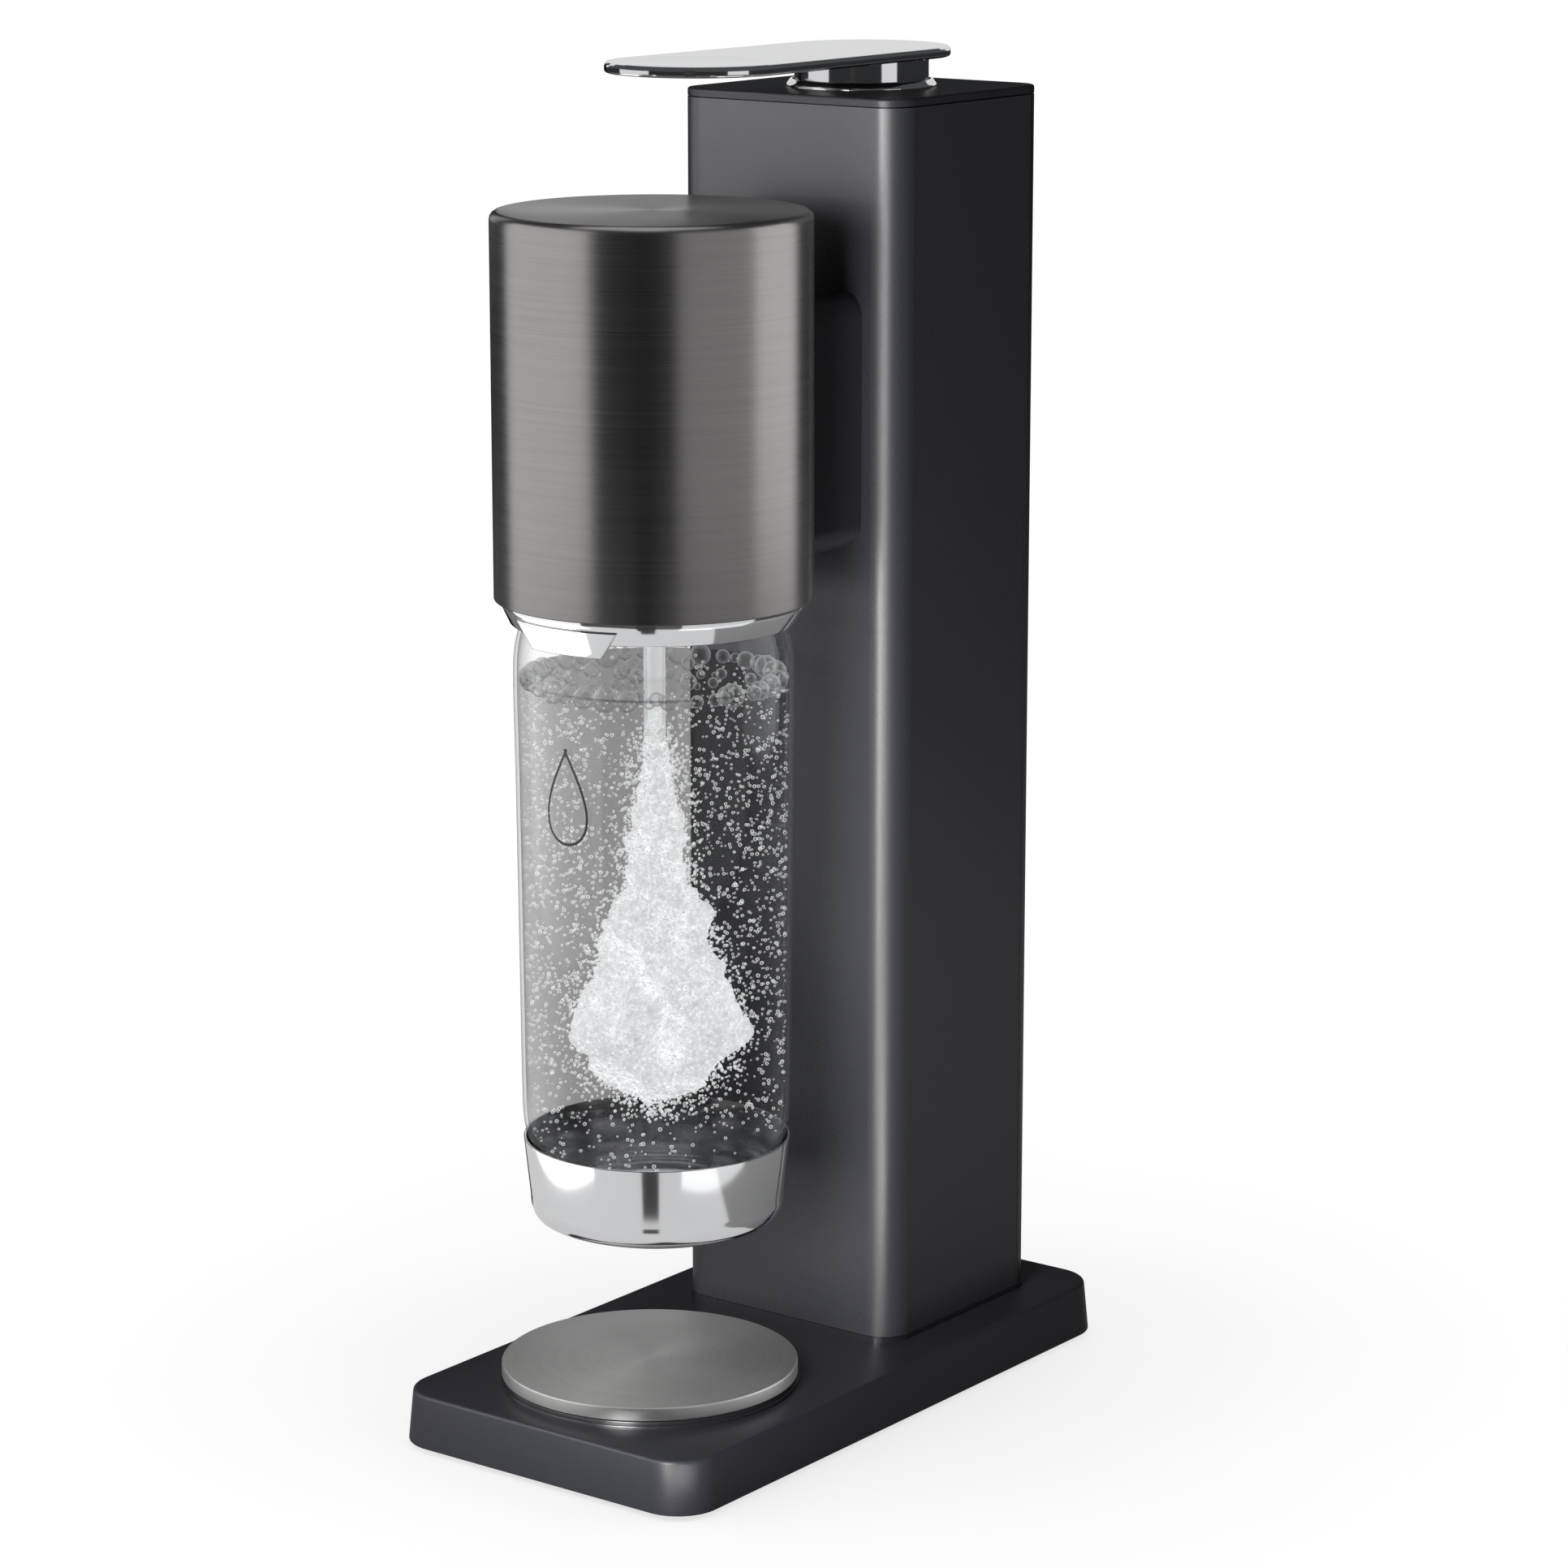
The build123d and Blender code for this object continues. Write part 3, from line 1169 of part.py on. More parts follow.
NODES = {
    "base_housing": base_housing,
    "floor_plate": floor_plate,
    "ballast_plate": ballast_plate,
    "rubber_feet": feet,
    "base_screws": base_screws,
    "column_bolts": column_bolts,
    "disc_seat": disc_seat,
    "drip_disc": drip_disc,
    "column_plinth": column_plinth,
    "column_shell": column_shell,
    "back_cover": back_cover,
    "column_cap": column_cap,
    "cap_screws": cap_screws,
    "side_rail_right": side_rail,
    "side_rail_left": side_rail_left,
    "cylinder_seat": cylinder_seat,
    "top_bridge": top_bridge,
    "gas_cylinder": gas_cylinder,
    "cylinder_valve": cylinder_valve,
    "valve_pin": valve_pin,
    "valve_seal": valve_seal,
    "manifold": manifold,
    "manifold_screws": manifold_screws,
    "manifold_elbow": manifold_elbow,
    "rod_bush": rod_bush,
    "push_rod": push_rod,
    "rod_spring": rod_spring,
    "lever_paddle": lever_paddle,
    "lever_turret": lever_turret,
    "lever_screws": lever_screws,
    "press_cam": press_cam,
    "rocker_pin": rocker_pin,
    "flange_ring": flange_ring,
    "head_sleeve": head_sleeve,
    "sleeve_nuts": sleeve_nuts,
    "head_frame": head_frame,
    "pivot_pins": pivot_pins,
    "neck_cover": neck_cover,
    "neck_bracket": neck_bracket,
    "bracket_bolts": bracket_bolts,
    "snap_spring": snap_spring,
    "nozzle_bell": nozzle_bell,
    "bottle_gasket": bottle_gasket,
    "nozzle_core": nozzle_core,
    "core_nut": core_nut,
    "carbonation_tube": carbonation_tube,
    "tube_tip": tube_tip,
    "relief_body": relief_body,
    "relief_poppet": relief_poppet,
    "relief_spring": relief_spring,
    "safety_valve": safety_valve,
    "holder_collar": holder_collar,
    "hose_barb": hose_barb,
    "gas_hose": gas_hose,
    "bottle": bottle,
    "bottle_cup": bottle_cup,
}

os.makedirs("parts", exist_ok=True)
for name, make in NODES.items():
    export_step(make(), f"parts/{name}.step")
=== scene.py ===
"""Soda carbonator: the visible shells, the bottle with its water and froth, and the finishes.

Laid out as an add-on: sizes and colours are properties, and every group of pieces has its own operator.
Metres, +Z up, the front faces -Y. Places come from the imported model.
"""

import functools
import json
import math
import random

import bmesh
import bpy
from bpy.props import FloatProperty, FloatVectorProperty, IntProperty, PointerProperty
from mathutils import Matrix, Vector, noise

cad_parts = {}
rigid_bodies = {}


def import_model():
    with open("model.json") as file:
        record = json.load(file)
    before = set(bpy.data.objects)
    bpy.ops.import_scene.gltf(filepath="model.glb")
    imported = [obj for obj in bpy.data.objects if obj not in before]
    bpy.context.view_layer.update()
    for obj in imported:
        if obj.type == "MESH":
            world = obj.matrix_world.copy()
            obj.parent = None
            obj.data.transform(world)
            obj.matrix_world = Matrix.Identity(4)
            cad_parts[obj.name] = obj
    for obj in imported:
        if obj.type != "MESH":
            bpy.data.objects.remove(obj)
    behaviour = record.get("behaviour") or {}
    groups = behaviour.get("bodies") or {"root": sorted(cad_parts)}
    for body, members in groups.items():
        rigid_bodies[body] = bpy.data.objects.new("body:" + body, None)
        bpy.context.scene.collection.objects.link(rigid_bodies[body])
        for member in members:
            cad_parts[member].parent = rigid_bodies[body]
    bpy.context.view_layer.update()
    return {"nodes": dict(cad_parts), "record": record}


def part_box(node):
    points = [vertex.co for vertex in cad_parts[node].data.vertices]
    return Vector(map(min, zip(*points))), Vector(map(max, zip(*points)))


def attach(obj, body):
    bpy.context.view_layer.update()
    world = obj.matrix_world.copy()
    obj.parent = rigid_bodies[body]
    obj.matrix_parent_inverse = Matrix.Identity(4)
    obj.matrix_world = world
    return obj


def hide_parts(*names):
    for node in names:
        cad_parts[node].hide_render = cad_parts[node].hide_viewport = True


bl_info = {
    "name": "Soda carbonator",
    "version": (1, 0, 0),
    "blender": (4, 5, 0),
    "location": "View3D > Sidebar > Carbonator",
    "description": "Builds the shells, bottle, water, froth and finishes of a soda carbonator",
    "category": "Object",
}

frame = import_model()
MM = 0.001
TINY = 1e-6
NEAR = 5e-6    # two places that count as one


@functools.cache
def box_of(node):
    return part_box(node)


def low(node):
    return box_of(node)[0]


def high(node):
    return box_of(node)[1]


def middle(node):
    return (low(node) + high(node)) / 2


def radius_of(node):
    return (high(node).x - low(node).x) / 2


HEAD_Y = middle("bottle_cup").y
COLUMN_Y = middle("lever_turret").y
DISC_Y = middle("drip_disc").y
CUP_TOP = high("bottle_cup").z
CUP_LOW = low("bottle_cup").z
MOUTH_Z = high("bottle").z
BOTTLE_FOOT = CUP_LOW + 18.0 * MM
BODY_LOW, BODY_R = CUP_TOP + 14.0 * MM, 41.9 * MM    # where the bottle's straight body begins
NECK_LOW = MOUTH_Z - 29.0 * MM
STEPS = 192         # of a full turn
FINE_STEPS = 256    # of a full turn, for the large shells
SMOOTH_ANGLE = math.radians(32)


# ---------------------------------------------------------------- properties
def length(name, description, default):
    return FloatProperty(name=name, description=description, default=default, min=0.0, unit="LENGTH",
                         subtype="DISTANCE", precision=5)


def colour(name, description, default):
    return FloatVectorProperty(name=name, description=description, default=default, size=3, min=0.0, max=1.0,
                               subtype="COLOR")


def count(name, description, default):
    return IntProperty(name=name, description=description, default=default, min=0)


class CarbonatorSizes(bpy.types.PropertyGroup):
    """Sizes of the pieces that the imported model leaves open."""

    edge: length("Edge rounding", "Rounding of the sheet-metal edges", 0.35 * MM)
    sheet: length("Sheet", "Thickness of the head's and the disc's metal", 1.2 * MM)
    head_edge: length("Head edge", "Rounding of the head's top edge", 2.6 * MM)
    bottle_wall: length("Bottle wall", "Thickness of the clear wall", 1.2 * MM)
    shoulder_z: length("Shoulder", "Height where the shoulder begins", MOUTH_Z - 84.5 * MM)
    water_level: length("Water level", "Height of the water at rest", 243.0 * MM)
    scoop_radius: length("Thumb scoop", "Radius of the dish in the lever's free end", 22.5 * MM)
    scoop_depth: length("Scoop depth", "Depth of the dish", 0.9 * MM)
    lip_half_angle: FloatProperty(name="Lip half angle", description="Half the lip's width, from the axis",
                                  default=math.radians(25.0), subtype="ANGLE")
    bubble_count: count("Bubbles", "Small bubbles in the water", 3300)
    froth_count: count("Froth bubbles", "Fine bubbles on the gas plume", 5400)


class CarbonatorColours(bpy.types.PropertyGroup):
    """Colours of the finishes."""

    coat: colour("Powder coat", "Satin black of the column", (0.0105, 0.0108, 0.0135))
    base: colour("Base plastic", "Satin black of the base", (0.0095, 0.0097, 0.012))
    head: colour("Head metal", "Dark brushed steel of the head", (0.225, 0.215, 0.212))
    steel: colour("Steel", "Brushed steel of the drip disc", (0.62, 0.62, 0.605))
    chrome: colour("Chrome", "Polished chrome", (0.86, 0.865, 0.875))
    # Painted shade: the water's back faces take this colour, in place of the dark things seen through the
    # water.
    water: colour("Water", "Tint of the water's depth", (0.012, 0.013, 0.015))
    froth: colour("Froth", "Froth and bubbles", (0.93, 0.94, 0.95))
    floor: colour("Floor", "Studio floor", (0.38, 0.38, 0.38))


# ---------------------------------------------------------------- finishes
class Value:
    """A shader socket that Python's arithmetic works on."""

    def __init__(self, finish, socket):
        self.finish = finish
        self.socket = socket

    def maths(self, operation, *operands):
        return self.finish.add("ShaderNodeMath", {"operation": operation}, dict(enumerate(operands)))

    def __add__(self, other):
        return self.maths("ADD", self, other)

    def __sub__(self, other):
        return self.maths("SUBTRACT", self, other)

    def __rsub__(self, other):
        return self.maths("SUBTRACT", other, self)

    def __mul__(self, other):
        return self.maths("MULTIPLY", self, other)

    def __pow__(self, other):
        return self.maths("POWER", self, other)

    __radd__ = __add__
    __rmul__ = __mul__

    def clamped(self):
        return self.maths("MINIMUM", self.maths("MAXIMUM", self, 0.0), 1.0)


class Nodes:
    """A shader tree of a material or a world, built node by node."""

    def __init__(self, owner):
        owner.use_nodes = True
        self.tree = owner.node_tree
        self.tree.nodes.clear()

    def add(self, kind, settings=None, sockets=None, output=0):
        """Adds a node: its settings first, then values or links on its sockets. Returns one output."""
        node = self.tree.nodes.new(kind)
        for key, setting in (settings or {}).items():
            if key == "stops":
                self.set_stops(node.color_ramp, setting)
            else:
                setattr(node, key, setting)
        for key, given in (sockets or {}).items():
            if isinstance(given, Value):
                self.tree.links.new(given.socket, node.inputs[key])
            else:
                node.inputs[key].default_value = given
        return Value(self, node.outputs[output]) if node.outputs else None

    @staticmethod
    def set_stops(ramp, stops):
        """Stops are (place, grey) pairs."""
        while len(ramp.elements) < len(stops):
            ramp.elements.new(1.0)
        for element, (place, grey) in zip(ramp.elements, stops):
            element.position = place
            element.color = (grey, grey, grey, 1.0)

    def place(self, scale=(1.0, 1.0, 1.0), shift=(0.0, 0.0, 0.0)):
        """Object coordinates measured from shift, and then scaled."""
        here = self.add("ShaderNodeTexCoord", output="Object")
        moved = [-s * k for s, k in zip(shift, scale)]
        return self.add("ShaderNodeMapping", {"vector_type": "POINT"},
                        {"Vector": here, "Scale": scale, "Location": moved})

    def grain(self, scale, where, detail=2.0, roughness=0.5):
        return self.add("ShaderNodeTexNoise", {}, {"Vector": where, "Scale": scale, "Detail": detail,
                                                   "Roughness": roughness})

    def bump(self, height, distance, strength=1.0):
        return self.add("ShaderNodeBump", {}, {"Height": height, "Distance": distance, "Strength": strength})

    def shade(self, first, second, share):
        """Colour between two colours."""
        return self.add("ShaderNodeMix", {"data_type": "RGBA"},
                        {"Factor": share, 6: (*first, 1.0), 7: (*second, 1.0)}, output=2)

    def principled(self, sockets):
        return self.add("ShaderNodeBsdfPrincipled", {}, sockets)


class Finish(Nodes):
    """One material."""

    def __init__(self, name):
        self.material = bpy.data.materials.new(name)
        super().__init__(self.material)

    def out(self, surface):
        self.add("ShaderNodeOutputMaterial", {}, {"Surface": surface})
        return self.material


def opaque(rgb):
    return (*rgb, 1.0)


def scaled(rgb, factor):
    return tuple(min(c * factor, 1.0) for c in rgb)


def powder_coat(name, rgb, roughness, specular, sheen=0.0):
    """Satin black with a fine orange-peel grain and slow changes of gloss."""
    f = Finish(name)
    here = f.place()
    fine = f.grain(2600.0, here, 3.0, 0.65)
    slow = f.grain(18.0, here, 2.0)
    colour_here = f.shade(scaled(rgb, 0.75), scaled(rgb, 1.5), fine * 0.8 + slow * 0.2)
    gloss = (fine - 0.5) * 0.22 + (slow - 0.5) * 0.06 + roughness
    return f.out(f.principled({
        "Base Color": colour_here,
        "Roughness": gloss.clamped(),
        "Specular IOR Level": specular,
        "Coat Weight": sheen,
        "Coat Roughness": 0.46,
        "Coat IOR": 1.42,
        "Normal": f.bump(fine, 0.00006, 0.5),
    }))


def moulded(name, rgb, roughness, grain_scale=1500.0, depth=0.00004):
    """Spark-eroded moulded plastic."""
    f = Finish(name)
    here = f.place()
    fine = f.grain(grain_scale, here, 2.0)
    slow = f.grain(25.0, here, 2.0)
    return f.out(f.principled({
        "Base Color": f.shade(scaled(rgb, 0.85), scaled(rgb, 1.2), slow),
        "Roughness": (fine * 0.16 + (roughness - 0.08)).clamped(),
        "Normal": f.bump(fine, depth, 0.6),
    }))


def polished(name, rgb, roughness=0.035):
    """Chrome with faint wipe marks."""
    f = Finish(name)
    here = f.place()
    smear = f.grain(45.0, here, 4.0, 0.6)
    hair = f.grain(900.0, f.place((1.0, 0.06, 0.4)), 2.0)
    return f.out(f.principled({
        "Base Color": f.shade(scaled(rgb, 0.96), scaled(rgb, 1.03), smear),
        "Metallic": 1.0,
        "Roughness": (smear * 0.05 + hair * 0.02 + (roughness - 0.03)).clamped(),
        "Normal": f.bump(hair, 0.000004, 0.3),
    }))


def brushed_round(name, rgb, centre_y, roughness, streaks, anisotropy, contrast):
    """Metal brushed round its own axis: rings on a flat face, level lines on a wall."""
    f = Finish(name)
    here = f.place((1.0, 1.0, 1.0), (0.0, centre_y, 0.0))
    x, y, z = (f.add("ShaderNodeSeparateXYZ", {}, {0: here}, output=axis) for axis in "XYZ")
    out_from_axis = (x * x + y * y) ** 0.5
    across = out_from_axis + z
    slow_x, slow_y = x * 9.0, y * 9.0
    fine_rings = {0: slow_x, 1: slow_y, 2: across * streaks}
    wide_rings = {0: slow_x * 1.7, 1: slow_y * 1.7, 2: across * (streaks * 0.13)}
    line = f.grain(1.0, f.add("ShaderNodeCombineXYZ", {}, fine_rings), 3.0, 0.7)
    broad = f.grain(1.0, f.add("ShaderNodeCombineXYZ", {}, wide_rings), 2.0)
    share = line * 0.7 + broad * 0.3
    return f.out(f.principled({
        "Base Color": f.shade(scaled(rgb, 1 - contrast), scaled(rgb, 1 + contrast), share),
        "Metallic": 1.0,
        "Roughness": ((line - 0.5) * 0.22 + roughness).clamped(),
        "Anisotropic": anisotropy,
        "Anisotropic Rotation": 0.25,
        "Normal": f.bump(line, 0.00002, 0.55),
    }))


def plated(name, rgb, roughness):
    """Zinc-plated, cast or drawn metal inside the machine."""
    f = Finish(name)
    here = f.place()
    cloud = f.grain(140.0, here, 3.0)
    fine = f.grain(1600.0, here, 2.0)
    return f.out(f.principled({
        "Base Color": f.shade(scaled(rgb, 0.82), scaled(rgb, 1.12), cloud),
        "Metallic": 1.0,
        "Roughness": (cloud * 0.14 + (roughness - 0.07)).clamped(),
        "Normal": f.bump(fine, 0.00002, 0.4),
    }))


def soft_rubber(name, rgb):
    """Matt rubber or silicone."""
    f = Finish(name)
    fine = f.grain(1900.0, f.place(), 2.0)
    return f.out(f.principled({
        "Base Color": f.shade(scaled(rgb, 0.8), scaled(rgb, 1.25), fine),
        "Roughness": (fine * 0.15 + 0.68).clamped(),
        "Normal": f.bump(fine, 0.00005, 0.5),
    }))


def see_through(f, share, sockets, tint=0.97):
    """Clear where share is 0, and the given surface where it is 1."""
    clear = f.add("ShaderNodeBsdfTransparent", {}, {"Color": (tint, tint, tint, 1.0)})
    return f.out(f.add("ShaderNodeMixShader", {}, {0: share, 1: clear, 2: f.principled(sockets)}))


def clear_plastic(name):
    """Thin clear wall: reflections grow towards its edges."""
    f = Finish(name)
    edge = f.add("ShaderNodeLayerWeight", {}, {"Blend": 0.5}, output="Facing")
    ripple = f.grain(60.0, f.place((1.0, 1.0, 0.35)), 2.0)
    mirror = edge ** 5.0 * 0.55 + edge ** 2.0 * 0.03 + 0.014
    return see_through(f, mirror.clamped(), {
        "Base Color": (0.86, 0.88, 0.90, 1.0),
        "Metallic": 1.0,
        "Roughness": ripple * 0.05 + 0.03,
        "Normal": f.bump(ripple, 0.0003, 0.25),
    })


def water_with_painted_dark(name, rgb):
    """Clear at the edges; painted shade through the middle, where the water is deepest, behind the bubbles.
    """
    f = Finish(name)
    edge = f.add("ShaderNodeLayerWeight", {}, {"Blend": 0.5}, output="Facing")
    behind = f.add("ShaderNodeNewGeometry", output="Backfacing")
    # Painted shade: the back faces turn dark towards the middle, in place of the dark things seen through the
    # water.
    stops = [(0.0, 0.72), (0.25, 0.66), (0.5, 0.50), (0.75, 0.30), (1.0, 0.16)]
    depth = f.add("ShaderNodeValToRGB", {"stops": stops}, {"Fac": edge})
    share = depth * behind + 0.015
    return see_through(f, share.clamped(), {
        "Base Color": opaque(rgb),
        "Roughness": 0.12,
        "Specular IOR Level": 0.1,
    }, tint=0.985)


def bubble_with_painted_light(name, rgb, rim, middle_share, glow):
    """A bubble in water: a painted highlight on its upper cap, a painted dark outline below, and a glow."""
    f = Finish(name)
    edge = f.add("ShaderNodeLayerWeight", {}, {"Blend": 0.5}, output="Facing")
    parts = f.add("ShaderNodeNewGeometry", output="Normal")
    upward = f.add("ShaderNodeSeparateXYZ", {}, {0: parts}, output="Z")
    # Painted highlight: the upward-facing cap is painted bright, as if lit from above.
    cap = f.add("ShaderNodeValToRGB", {"stops": [(0.30, 0.0), (0.62, 1.0)]}, {"Fac": upward * 0.5 + 0.5})
    mottle = f.grain(420.0, f.place(), 1.0)
    # The rim is made opaque and takes the painted colour, a painted reflection round the bubble's edge.
    share = edge ** 1.8 * rim + cap * edge * 0.5 + middle_share
    # Painted shade and highlight: near black on the lower side, white on the cap.
    white = f.shade(scaled(rgb, 0.03), rgb, (cap * (mottle * 0.5 + 0.75)).clamped())
    return see_through(f, share.clamped(), {
        "Base Color": white,
        "Roughness": 0.12,
        "Specular IOR Level": 1.0,
        # Painted light: the bubble glows though it is no lamp.
        "Emission Color": white,
        "Emission Strength": glow,
    })


def froth_with_painted_shade_and_glow(name, rgb):
    """Packed fine bubbles, with painted shade between them and a glow."""
    f = Finish(name)
    cells = f.add("ShaderNodeTexVoronoi", {"feature": "F1"}, {"Vector": f.place(), "Scale": 780.0})
    mottle = f.grain(230.0, f.place(), 3.0)
    # Painted shade: the colour darkens from each bubble's middle towards the gaps; the same domes give the
    # bump.
    bubble_domes_and_painted_shade = (1.0 - cells) ** 2.0
    white = f.shade(scaled(rgb, 0.55), rgb, (bubble_domes_and_painted_shade * 0.6 + mottle * 0.7).clamped())
    return f.out(f.principled({
        "Base Color": white,
        "Roughness": 0.28,
        # Painted light: the froth glows though it is no lamp.
        "Emission Color": white,
        "Emission Strength": 0.85,
        "Normal": f.bump(bubble_domes_and_painted_shade, 0.0006, 0.8),
    }))


def tube_plastic_glowing(name):
    """Frosted clear tube that glows."""
    f = Finish(name)
    edge = f.add("ShaderNodeLayerWeight", {}, {"Blend": 0.5}, output="Facing")
    streak = f.grain(300.0, f.place((1.0, 1.0, 0.05)), 2.0)
    share = edge ** 2.0 * 0.55 + streak * 0.15 + 0.28
    return see_through(f, share.clamped(), {
        "Base Color": (0.85, 0.87, 0.88, 1.0),
        "Roughness": 0.12,
        # Painted light: the tube glows though it is no lamp.
        "Emission Color": (0.85, 0.87, 0.88, 1.0),
        "Emission Strength": 0.45,
    })


def printed_ink(name):
    """Nearly black screen print."""
    f = Finish(name)
    speck = f.grain(2400.0, f.place(), 1.0)
    return f.out(f.principled({
        "Base Color": f.shade((0.004, 0.004, 0.005), (0.012, 0.012, 0.013), speck),
        "Roughness": (speck * 0.1 + 0.3).clamped(),
    }))


def studio_floor(name, rgb):
    """Seamless white paper: it keeps a soft contact shadow and stays white far behind."""
    f = Finish(name)
    here = f.place()
    fibre = f.grain(90.0, here, 2.0)
    reach = f.add("ShaderNodeVectorMath", {"operation": "LENGTH"}, {0: here}, output="Value")
    seen = f.add("ShaderNodeLightPath", output="Is Camera Ray")
    glow = (reach * 0.35 + 0.68).clamped() * seen
    paper = f.principled({
        "Base Color": f.shade(scaled(rgb, 0.99), rgb, fibre),
        "Roughness": 0.8,
        "Specular IOR Level": 0.0,
    })
    light = f.add("ShaderNodeEmission", {}, {"Strength": glow})
    return f.out(f.add("ShaderNodeAddShader", {}, {0: paper, 1: light}))


def make_finishes(colours):
    """Every finish by its slot name in the record, and a few for the new pieces."""
    return {
        "base_black": powder_coat("base_black", colours.base, 0.34, 0.24),
        "column_black": powder_coat("column_black", colours.coat, 0.30, 0.24, 0.6),
        "cover_black": powder_coat("cover_black", colours.coat, 0.30, 0.24, 0.6),
        "cap_black": powder_coat("cap_black", colours.base, 0.34, 0.24),
        "trim_black": moulded("trim_black", (0.006, 0.006, 0.007), 0.22, 700.0, 0.00001),
        "titanium": brushed_round("titanium", colours.head, HEAD_Y, 0.31, 5200.0, 0.62, 0.32),
        "disc_steel": brushed_round("disc_steel", colours.steel, DISC_Y, 0.48, 5200.0, 0.5, 0.22),
        "chrome": polished("chrome", colours.chrome, 0.07),
        "cup_steel": polished("cup_steel", scaled(colours.chrome, 0.97), 0.10),
        "clear_plastic": clear_plastic("clear_plastic"),
        "inner_plastic": moulded("inner_plastic", (0.06, 0.06, 0.065), 0.45),
        "cast_alloy": plated("cast_alloy", (0.60, 0.60, 0.61), 0.45),
        "sheet_steel": plated("sheet_steel", (0.52, 0.53, 0.54), 0.34),
        "ballast_iron": plated("ballast_iron", (0.12, 0.12, 0.13), 0.55),
        "rubber": soft_rubber("rubber", (0.03, 0.03, 0.03)),
        "silicone": soft_rubber("silicone", (0.62, 0.63, 0.63)),
        "brass": plated("brass", (0.72, 0.52, 0.22), 0.28),
        "gas_alloy": plated("gas_alloy", (0.70, 0.71, 0.73), 0.30),
        "fastener": plated("fastener", (0.55, 0.55, 0.56), 0.30),
        "spring_steel": plated("spring_steel", (0.50, 0.50, 0.52), 0.24),
        "acetal": moulded("acetal", (0.75, 0.75, 0.72), 0.40),
        "water": water_with_painted_dark("water", colours.water),
        # Bubbles and froth carry painted highlights, painted shade and a glow.
        "bubble": bubble_with_painted_light("bubble", colours.froth, 0.8, 0.03, 1.2),
        "big_bubble": bubble_with_painted_light("big_bubble", colours.froth, 0.75, 0.02, 0.15),
        "froth": froth_with_painted_shade_and_glow("froth", colours.froth),
        "froth_bubble": bubble_with_painted_light("froth_bubble", colours.froth, 0.5, 0.35, 0.7),
        "tube_clear": tube_plastic_glowing("tube_clear"),
        "ink": printed_ink("ink"),
        "floor": studio_floor("floor", colours.floor),
    }


FINISHES = {}


# ---------------------------------------------------------------- shapes
def ring_edges(bm, corner, y):
    """Edges of the circle that a (radius, height) corner makes."""
    radius, z = corner

    def on_ring(vert):
        return abs(vert.co.z - z) < NEAR and abs(math.hypot(vert.co.x, vert.co.y - y) - radius) < NEAR

    return [e for e in bm.edges if all(on_ring(v) for v in e.verts)]


def bevel(bm, edges, width, segments):
    bmesh.ops.bevel(bm, geom=edges, offset=width, offset_type="OFFSET", segments=segments, profile=0.5,
                    affect="EDGES", material=-1, clamp_overlap=True)


def weld(bm):
    bmesh.ops.remove_doubles(bm, verts=bm.verts, dist=TINY)
    bmesh.ops.recalc_face_normals(bm, faces=bm.faces)


def lathe(outline, y, soft=(), steps=STEPS, sweep=2 * math.pi):
    """Outline of (radius, height) corners turned about the upright axis through y.

    It is closed on itself unless it begins and ends on the axis. soft lists (corner, width) pairs to round.
    """
    bm = bmesh.new()
    verts = [bm.verts.new((r, y, z)) for r, z in outline]
    on_axis = outline[0][0] < TINY and outline[-1][0] < TINY
    following = verts[1:] if on_axis else verts[1:] + verts[:1]
    edges = [bm.edges.new(pair) for pair in zip(verts, following)]
    full = abs(sweep - 2 * math.pi) < TINY
    bmesh.ops.spin(bm, geom=verts + edges, cent=(0, y, 0), axis=(0, 0, 1), angle=sweep, steps=steps,
                   use_merge=full, use_duplicate=False)
    weld(bm)
    for corner, width in soft:
        bevel(bm, ring_edges(bm, corner, y), width, 4)
    return bm


def flow(points, each=6):
    """Smooth line through (radius, height) points, tangent to its chords."""
    line = []
    last = len(points) - 1
    for i in range(last):
        a, b = Vector(points[i]), Vector(points[i + 1])
        before, after = Vector(points[max(i - 1, 0)]), Vector(points[min(i + 2, last)])
        reach = (b - a).length / 3
        start = (b - before).normalized() * reach
        end = (after - a).normalized() * reach
        for t in (k / each for k in range(each)):
            u = 1 - t
            line.append(tuple(a * u**3 + (a + start) * 3 * t * u**2 + (b - end) * 3 * t**2 * u + b * t**3))
    return line + [tuple(points[last])]


def block(low_corner, high_corner, corner_radius, segments):
    """Upright block with rounded upright edges."""
    bm = bmesh.new()
    bmesh.ops.create_cube(bm, size=1.0)
    size = high_corner - low_corner
    bmesh.ops.scale(bm, vec=size, verts=bm.verts)
    bmesh.ops.translate(bm, vec=(low_corner + high_corner) / 2, verts=bm.verts)
    upright = [e for e in bm.edges if abs(e.verts[0].co.z - e.verts[1].co.z) > size.z / 2]
    bevel(bm, upright, corner_radius, segments)
    return bm


def lid(node, y, wall, top_edge, low_edge):
    """Round lid, open below, in the box of a node."""
    r, z0, z1 = radius_of(node), low(node).z, high(node).z
    outline = [(0.0, z1), (r, z1), (r, z0), (r - wall, z0), (r - wall, z1 - wall), (0.0, z1 - wall)]
    soft = [((r, z1), top_edge), ((r, z0), low_edge), ((r - wall, z0), low_edge)]
    return lathe(outline, y, soft, FINE_STEPS)


def rim_edges(bm, z, least_turn=0.5):
    """Edges round a flat face at height z."""
    level = [e for e in bm.edges if all(abs(v.co.z - z) < NEAR for v in e.verts)]
    return [e for e in level if len(e.link_faces) == 2 and e.calc_face_angle(0.0) > least_turn]


def flat_face(bm, z):
    """The biggest face that lies at height z."""
    faces = [f for f in bm.faces if all(abs(v.co.z - z) < NEAR for v in f.verts)]
    return max(faces, key=lambda face: face.calc_area())


